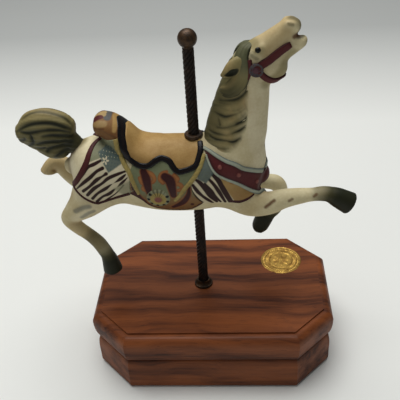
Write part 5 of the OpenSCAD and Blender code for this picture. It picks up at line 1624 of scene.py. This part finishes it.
    def blanket(self) -> None:
        """Lays the three painted panels on each side."""
        h = self.horse
        right = ((2.5, -15.5, 44), (-0.5, -19, 35), (-2, -20, 29), (0, -19.5, 21.5),
                 (4.5, -17.5, 14.5))
        left = ((-38, -15, 46), (-41, -18, 39), (-42.5, -19, 31), (-42.5, -19, 24.5))
        seam = ((-38, -15, 46), (-33.5, -16, 44.5), (-28.5, -16, 44.5), (-23.5, -15, 47),
                (-20, -13.5, 47.5), (-15.5, -14.5, 46.5), (-11.5, -17, 41.5), (-9, -18, 40.5),
                (-5.5, -17.5, 41), (-2, -17, 41.5), (2.5, -15.5, 44))
        belly = ((-42.5, -19, 24.5), (-35.5, -18, 19), (-30.5, -16, 12.5), (-24.5, -14.5, 9),
                 (-14.5, -13.5, 7), (-4.5, -14, 7.5), (4.5, -17.5, 14.5))
        top = ((2.5, -15.5, 44), (7, -14, 47.5), (10.5, -17, 42.5), (14, -18.5, 37.5),
               (19.5, -19, 34), (24, -18.5, 31.5), (28, -18, 29), (34, -17, 24.5),
               (38.5, -16, 21.5))
        low = ((4.5, -17.5, 14.5), (11.5, -17, 14), (17, -17.5, 14.5), (23, -18, 15),
               (27.5, -18.5, 14.6), (31, -18.5, 15.6), (34.5, -18.5, 17.5), (38, -17, 20))
        rear_top = ((-61, -2, 57), (-57, -7, 59), (-52, -11, 60), (-48, -12.5, 61))
        jobs = (("blanket_rear", (self.crupper, (*self.rear_rope, (-42.5, -19, 24.5)),
                                  rear_top, self.rear_hem), self.rear_paint, 144, 164),
                ("blanket_middle", (left, right, seam, belly), self.middle_paint, 174, 138),
                ("blanket_front", (right, ((38.5, -16, 21.5), (38, -17, 20)), top, low),
                 self.front_paint, 160, 120))
        for name, edges, paint, rows, cols in jobs:
            h.both(lambda k: h.patch(edges, 0.55, paint, k, rows, cols), name)

    def straps(self) -> None:
        """Lays the crupper, the hem and the two yellow ropes."""
        h = self.horse

        def level(t: Array, s: Array) -> Array:
            """Height: flat with rounded edges."""
            return 0.35 + 0.9 * np.clip(1 - s**4, 0, 1) ** 0.5

        def hatched(t: Array, s: Array) -> Array:
            """Wine with slanting burgundy strokes."""
            return blend(Paint.WINE, Paint.BURGUNDY, ease(np.cos(300 * t + 4 * s), -0.3, 0.5))

        def twisted(t: Array, s: Array) -> Array:
            """Height: round, with the valleys of a twisted rope."""
            return 0.3 + 1.2 * np.sqrt(np.clip(1 - s * s, 0, 1)) * (
                0.84 + 0.16 * np.abs(np.sin(34 * t + 1.2 * s)))

        def rope_paint(t: Array, s: Array) -> Array:
            """Yellow on the crowns, with painted shade turning it khaki in the valleys and along the
            edges.
            """
            crown = 0.45 + 0.55 * ease(np.abs(np.sin(34 * t + 1.2 * s)), 0.05, 0.5)
            # Painted shade: khaki in the valleys between the strands and towards the edges.
            return blend(Paint.KHAKI, Paint.LEMON, crown * (1 - 0.5 * s * s))

        crupper = widened(self.crupper, 2.6, 4.2, 4.4)
        h.both(lambda k: h.ribbon(crupper, level, hatched, k, 160, 11), "crupper_strap")
        hem = widened(self.rear_hem, 1.2, 1.3, 1.8, 2.2)
        h.both(lambda k: h.ribbon(hem, level, flat(Paint.WINE), k, 110, 9), "blanket_hem")
        paths = (self.rear_rope + ((-36.2, -19, 24.5),), self.front_rope)
        ropes = [widened(path, 3.2, 3.3, 3.2, 2.4) for path in paths]
        h.finished(Shell.joined([h.ribbon(rope, twisted, rope_paint, k, 170, 13)
                                 for rope in ropes for k in SIDES]), "girth_ropes")

    def collar(self) -> None:
        """Lays the breast collar: a wine band between two blue rolls, with its studs."""
        h = self.horse

        def level(t: Array, s: Array) -> Array:
            """Height: a half round."""
            return 0.4 + 1.1 * np.clip(1 - s * s, 0, 1) ** 0.5

        def shaded(t: Array, s: Array) -> Array:
            """Blue, greyer towards the edges."""
            return blend(Paint.BLUE, Paint.SLATE, 0.7 * ease(np.abs(s), 0.35, 0.9))

        def paint(at: Array) -> Array:
            """Burgundy, with painted shade darkening it to wine beside the rolls."""
            edge = np.minimum(far_from(at, self.top_collar), far_from(at, self.low_collar))
            # Painted shade: wine beside the rolls.
            return blend(Paint.BURGUNDY, Paint.WINE, 0.8 * (1 - ease(edge, 1.2, 3.2)))

        for name, path, widths in (("collar_upper_roll", self.top_collar, (2.4, 3.0, 3.2)),
                                   ("collar_lower_roll", self.low_collar, (1.6, 2.4, 2.8))):
            wide = widened(path, *widths)
            h.finished(h.ribbon(wide + mirrored(wide), level, shaded, rows=260), name)
        edges = ((self.top_collar[0], self.low_collar[0]),
                 (self.top_collar[-1], (46.8, 0, 27), self.low_collar[-1]),
                 self.top_collar, self.low_collar)
        h.both(lambda k: h.patch(edges, 1.0, paint, k, 130, 50), "collar_band")
        studs = [h.boss(p, 1.7, lambda r: 0.9 + 1.1 * np.sqrt(np.clip(1 - r * r, 0, 1)),
                        lambda r, a: blend(Paint.ROSE, Paint.BURGUNDY, ease(r, 0.5, 1)), k)
                 for p in self.studs for k in SIDES]
        h.finished(Shell.joined(studs), "collar_studs")

    def medallion(self) -> None:
        """Lays the medallion: a ring of dark dots round a yellow one with a rose core, and
        a shell of leaves above."""
        h = self.horse

        def lift(r: Array) -> Array:
            """Height: a plate with a rounded rim and a button in its middle."""
            return 0.5 + 0.9 * (1 - ease(r, 0.85, 1.0)) + 0.7 * (1 - ease(r, 0.2, 0.5))

        def paint(r: Array, a: Array) -> Array:
            """The dots go all round but for the top, where the leaves are."""
            up, leafy = np.pi / 2, 0.75
            turn = np.abs((a - up + np.pi) % (2 * np.pi) - np.pi)
            colour = blend(Paint.LEMON, Paint.CLOTH, ease(r, 0.6, 0.75))
            colour = blend(colour, Paint.ROSE, 1 - ease(r, 0.22, 0.42))
            dots = np.hypot(r - 0.8, 0.8 * (((a / (2 * np.pi) * 9) % 1) - 0.5) * 0.72)
            colour = blend(colour, Paint.BLACK, (1 - ease(dots, 0.12, 0.16)) * (turn > leafy))
            rib = ease(np.cos(16 * (a - up)), -0.2, 0.5) * ease(r, 0.3, 0.4) * (turn <= leafy)
            return blend(colour, Paint.OLIVE, 0.7 * rib)

        h.both(lambda k: h.boss((-24, -19.5, 20.5), 7.8, lift, paint, k, 81), "medallion")

    def bridle(self) -> None:
        """Lays the cheek straps and throat latch, the rosettes and the eyes."""
        h = self.horse

        def level(t: Array, s: Array) -> Array:
            """Height: flat with rounded edges, and rounded down at the strap's end."""
            return 0.3 + 0.9 * np.clip(1 - s**4, 0, 1) ** 0.5 * (1 - 0.6 * ease(t, 0.95, 1))

        def band(t: Array, s: Array) -> Array:
            """Burgundy, with painted shade darkening it to wine along the rounded edges."""
            # Painted shade: wine along the rounded edges.
            return blend(Paint.BURGUNDY, Paint.WINE, ease(np.abs(s), 0.55, 0.95))

        straps = [h.ribbon(widened(path, *w), level, band, k, 90, 11)
                  for path, w in ((self.cheek, (4.6, 5, 5.1, 5.2, 5.2, 4.9, 3.6)),
                                  (self.throat, (3.6, 4.4, 4.4)),
                                  (self.behind, (2.6, 2.8))) for k in SIDES]
        h.finished(Shell.joined(straps), "bridle_straps")

        def petals(r: Array, a: Array) -> Array:
            """A plum core in a greyer ring of faint petals."""
            colour = blend(Paint.PLUM, Paint.SLATE, 0.6 * ease(r, 0.45, 0.6))
            petal = 0.4 * ease(np.cos(12 * a), 0, 0.8)
            return blend(colour, Paint.UMBER, petal * ease(r, 0.5, 0.7))

        def ringed(r: Array) -> Array:
            """Height: a ring round a button, rounded down at the rim."""
            return 1.5 + 0.5 * np.cos(5.6 * r) * (1 - ease(r, 0.9, 1))

        def domed(r: Array) -> Array:
            """Height of the eyeball."""
            return 0.1 + 1.2 * np.sqrt(np.clip(1 - r * r, 0, 1))

        def lidded(r: Array, a: Array) -> Array:
            """Black, with a brown rim."""
            return blend(Paint.EYE, Paint.UMBER, ease(r, 0.85, 1))

        h.both(lambda k: h.boss((39.5, -8, 102), 4.1, ringed, petals, k, 41), "bridle_rosettes")
        h.both(lambda k: h.boss((40.5, -8, 114), 1.75, domed, lidded, k, 31), "eyes", ENAMEL)

    def ears(self) -> None:
        """Models the two laid-back ears: a leaf-shaped limb with a hollow carved in it."""
        clay = Clay((13, -15, 88), (37, 0, 116), 0.4)
        clay.add(((33, -5.5, 107.5, 3.4, 2.4), (29.5, -6.4, 105.8, 4.4, 2.8), (26, -7.6, 103.3, 4.8, 3),
                  (22.6, -8.2, 101, 3.4, 2.6), (19.6, -8.2, 99.4, 1.3, 1.4)), 1.0)
        clay.carve(((28.5, -11, 102.6, 1.4, 2), (26, -10.8, 101.4, 2.5, 2.6),
                    (23.4, -10.6, 100.4, 1.6, 2), (21.6, -10.4, 99.8, 0.6, 1)), 0.8)
        clay.soften(1)
        points, faces = clay.skin()
        # Painted shade: the carved hollow is darkened to moss.
        hollow = 1 - ease(far_from(points, ((28, -9.6, 102.6, 2.2), (26, -9.4, 101.4, 4.2),
                                            (23.4, -9.6, 100.5, 2.8), (21.8, -10, 100, 1))), -0.2, 0.9)
        colour = blend(Paint.DUN, Paint.KHAKI, ease(points[:, 0], 22, 30))
        colour = blend(colour, Paint.OLIVE, 0.5 * (1 - ease(points[:, 0], 18, 23)))
        colour = blend(colour, Paint.MOSS, hollow)
        near = Shell(points, faces, colour, points[:, [0, 2]] / 100.0)
        far = Shell(near.points * (1, -1, 1) + (3, -0.5, -5), near.faces, near.paint, near.uv).outward()
        self.horse.finished(Shell.joined([near, far]), "ears")

    def build(self) -> None:
        """Lays every piece of the trappings."""
        self.blanket()
        self.straps()
        self.collar()
        self.medallion()
        self.bridle()
        self.ears()


# ---------------------------------------------------------------- studio


@dataclass(frozen=True)
class Seal:
    """The embossed foil seal on the box's top.

    Attributes:
        centre: Its middle in mm.
        radius: Its radius.
        low: Height of its underside.
        high: Height of its ground.
        beads: Beads in the ring near its edge.
    """

    centre: tuple[float, float] = (53.0, 25.0)
    radius: float = 15.45
    low: float = 50.95
    high: float = 51.4
    beads: int = 48

    def relief(self, r: Array, a: Array) -> Array:
        """Height of the embossing at r radii and an angle, from 0 to 1: bell curves for the
        rim, the beads and two rings, ticks between them, and a rosette of eight petals."""
        bell = lambda x, w: np.exp(-(x / w) ** 2)
        around = (a / (2 * np.pi) * self.beads) % 1 - 0.5
        bead = bell(np.hypot((r - 0.86) / 0.035, around / 0.3), 1.0)
        tick = ease(np.cos(60 * a), 0.1, 0.7) * (1 - ease(np.abs(r - 0.68), 0.06, 0.08))
        ring = np.maximum(bell(r - 0.96, 0.02), np.maximum(bell(r - 0.78, 0.014),
                                                           bell(r - 0.56, 0.014)))
        petal = 1 - ease(r - 0.3 - 0.14 * np.cos(8 * a), -0.05, 0.03)
        petal = petal * (0.5 + 0.5 * ease(np.abs(np.sin(4 * a)), 0.0, 0.35))
        return np.maximum(np.maximum(ring, bead), np.maximum(0.7 * tick, 0.8 * petal))

    def build(self) -> None:
        """Draws a square grid into the disc and embosses it; painted shade darkens the hollows towards
        amber and a painted highlight lightens the raised relief towards lemon.
        """
        g = np.linspace(-1, 1, 221)
        x, y = np.meshgrid(g, g, indexing="ij")
        x, y = x * np.sqrt(1 - y * y / 2), y * np.sqrt(1 - x * x / 2)
        r, a = np.hypot(x, y), np.arctan2(y, x)
        flat_at = np.stack([self.centre[0] + self.radius * x,
                            self.centre[1] + self.radius * y, 0 * x], -1)
        rise = self.relief(r, a) * 0.25 * (1 - ease(r, 0.98, 1.0))
        top = flat_at + (0, 0, 1) * (self.high + rise)[..., None]
        # Painted shade and highlight: amber in the hollows, lemon on the raised relief.
        colour = blend(Paint.AMBER, Paint.LEMON, self.relief(r, a))
        Shell.slab(top, flat_at + (0, 0, self.low), colour).piece(
            "seal_relief", GOLD.material(), "base", "gold_foil", ["seal_disc"])


@dataclass(frozen=True)
class Studio:
    """Camera, pale floor and soft light.

    Attributes:
        eye: Place of the camera in mm.
        yaw: Turn from +Y towards +X, in radians.
        pitch: Tilt below the horizon.
        roll: Turn about the view.
        lens: Focal length in mm on a 36 mm sensor.
    """

    eye: tuple[float, float, float] = (22.178, -349.479, 377.947)
    yaw: float = -0.078
    pitch: float = 0.619
    roll: float = -0.066
    lens: float = 56.634

    def camera(self) -> None:
        """Aims the camera: forward, right and up are turned by yaw, pitch and roll."""
        forward = np.array([math.sin(self.yaw) * math.cos(self.pitch),
                            math.cos(self.yaw) * math.cos(self.pitch), -math.sin(self.pitch)])
        level = np.array([math.cos(self.yaw), -math.sin(self.yaw), 0.0])
        rise = np.cross(level, forward)
        right = math.cos(self.roll) * level + math.sin(self.roll) * rise
        up = -math.sin(self.roll) * level + math.cos(self.roll) * rise
        data = bpy.data.cameras.new("camera")
        data.lens, data.sensor_width = self.lens, 36.0
        data.clip_start, data.clip_end = 0.01, 50.0
        camera = bpy.data.objects.new("camera", data)
        turn = np.eye(4)
        turn[:3, :3] = np.stack([right, up, -forward], 1)
        turn[:3, 3] = np.array(self.eye) * MM
        camera.matrix_world = Matrix(turn.tolist())
        bpy.context.scene.collection.objects.link(camera)
        bpy.context.scene.camera = camera

    def floor(self) -> None:
        """A wide sheet with painted shade: its colour falls off gently to grey towards the back."""
        size = 8.0
        mesh = bpy.data.meshes.new("floor")
        mesh.from_pydata([(-size, -size, 0), (size, -size, 0), (size, size, 0), (-size, size, 0)],
                         [], [(0, 1, 2, 3)])
        floor = bpy.data.objects.new("floor", mesh)
        bpy.context.scene.collection.objects.link(floor)
        made = bpy.data.materials.new("pale_sheet")
        made.use_nodes = True
        graph = Graph(made.node_tree)
        shader = made.node_tree.nodes["Principled BSDF"]
        place = graph.add("TexCoord").outputs["Object"]
        depth = graph.add("SeparateXYZ", {0: place}).outputs["Y"]
        # Painted shade: the sheet greys towards the back, from 0.34 m to 0.66 m behind its middle.
        grey = graph.band(depth, 0.34, 0.66)
        colour = graph.mix(grey, (*linear((230, 231, 226)), 1.0), (*linear((180, 182, 179)), 1.0))
        Finish.link(graph, shader, Base_Color=colour, Roughness=0.9, Specular_IOR_Level=0.1)
        mesh.materials.append(made)

    def light(self) -> None:
        """A wide soft lamp overhead and a little behind, over an even pale surround."""
        scene = bpy.context.scene
        scene.view_settings.view_transform = "Standard"
        world = bpy.data.worlds.new("surround")
        world.use_nodes = True
        world.node_tree.nodes["Background"].inputs["Color"].default_value = (0.86, 0.88, 0.9, 1)
        world.node_tree.nodes["Background"].inputs["Strength"].default_value = 0.16
        scene.world = world
        lamps = (("overhead", (-0.15, 0.25, 1.5), 1.3, 23.5), ("fill", (-0.9, -1.0, 0.9), 1.0, 1.4))
        for name, place, size, power in lamps:
            data = bpy.data.lights.new(name, "AREA")
            data.shape, data.size, data.energy = "DISK", size, power
            lamp = bpy.data.objects.new(name, data)
            aim = Vector((0, 0, 0.12)) - Vector(place)
            lamp.matrix_world = (Matrix.Translation(place)
                                 @ aim.to_track_quat("-Z", "Y").to_matrix().to_4x4())
            scene.collection.objects.link(lamp)


def main() -> None:
    """Builds the studio, the finishes and the pieces in order."""
    logging.basicConfig(level=logging.INFO, format="%(name)s %(message)s")
    studio = Studio()
    studio.camera()
    studio.floor()
    studio.light()
    dress_nodes()
    Seal().build()
    horse = Horse()
    casting = Casting(horse)
    casting.build()
    Hair(horse, casting.coat).build()
    Saddle(horse).build()
    Trappings(horse).build()


if __name__ == "__main__":
    main()
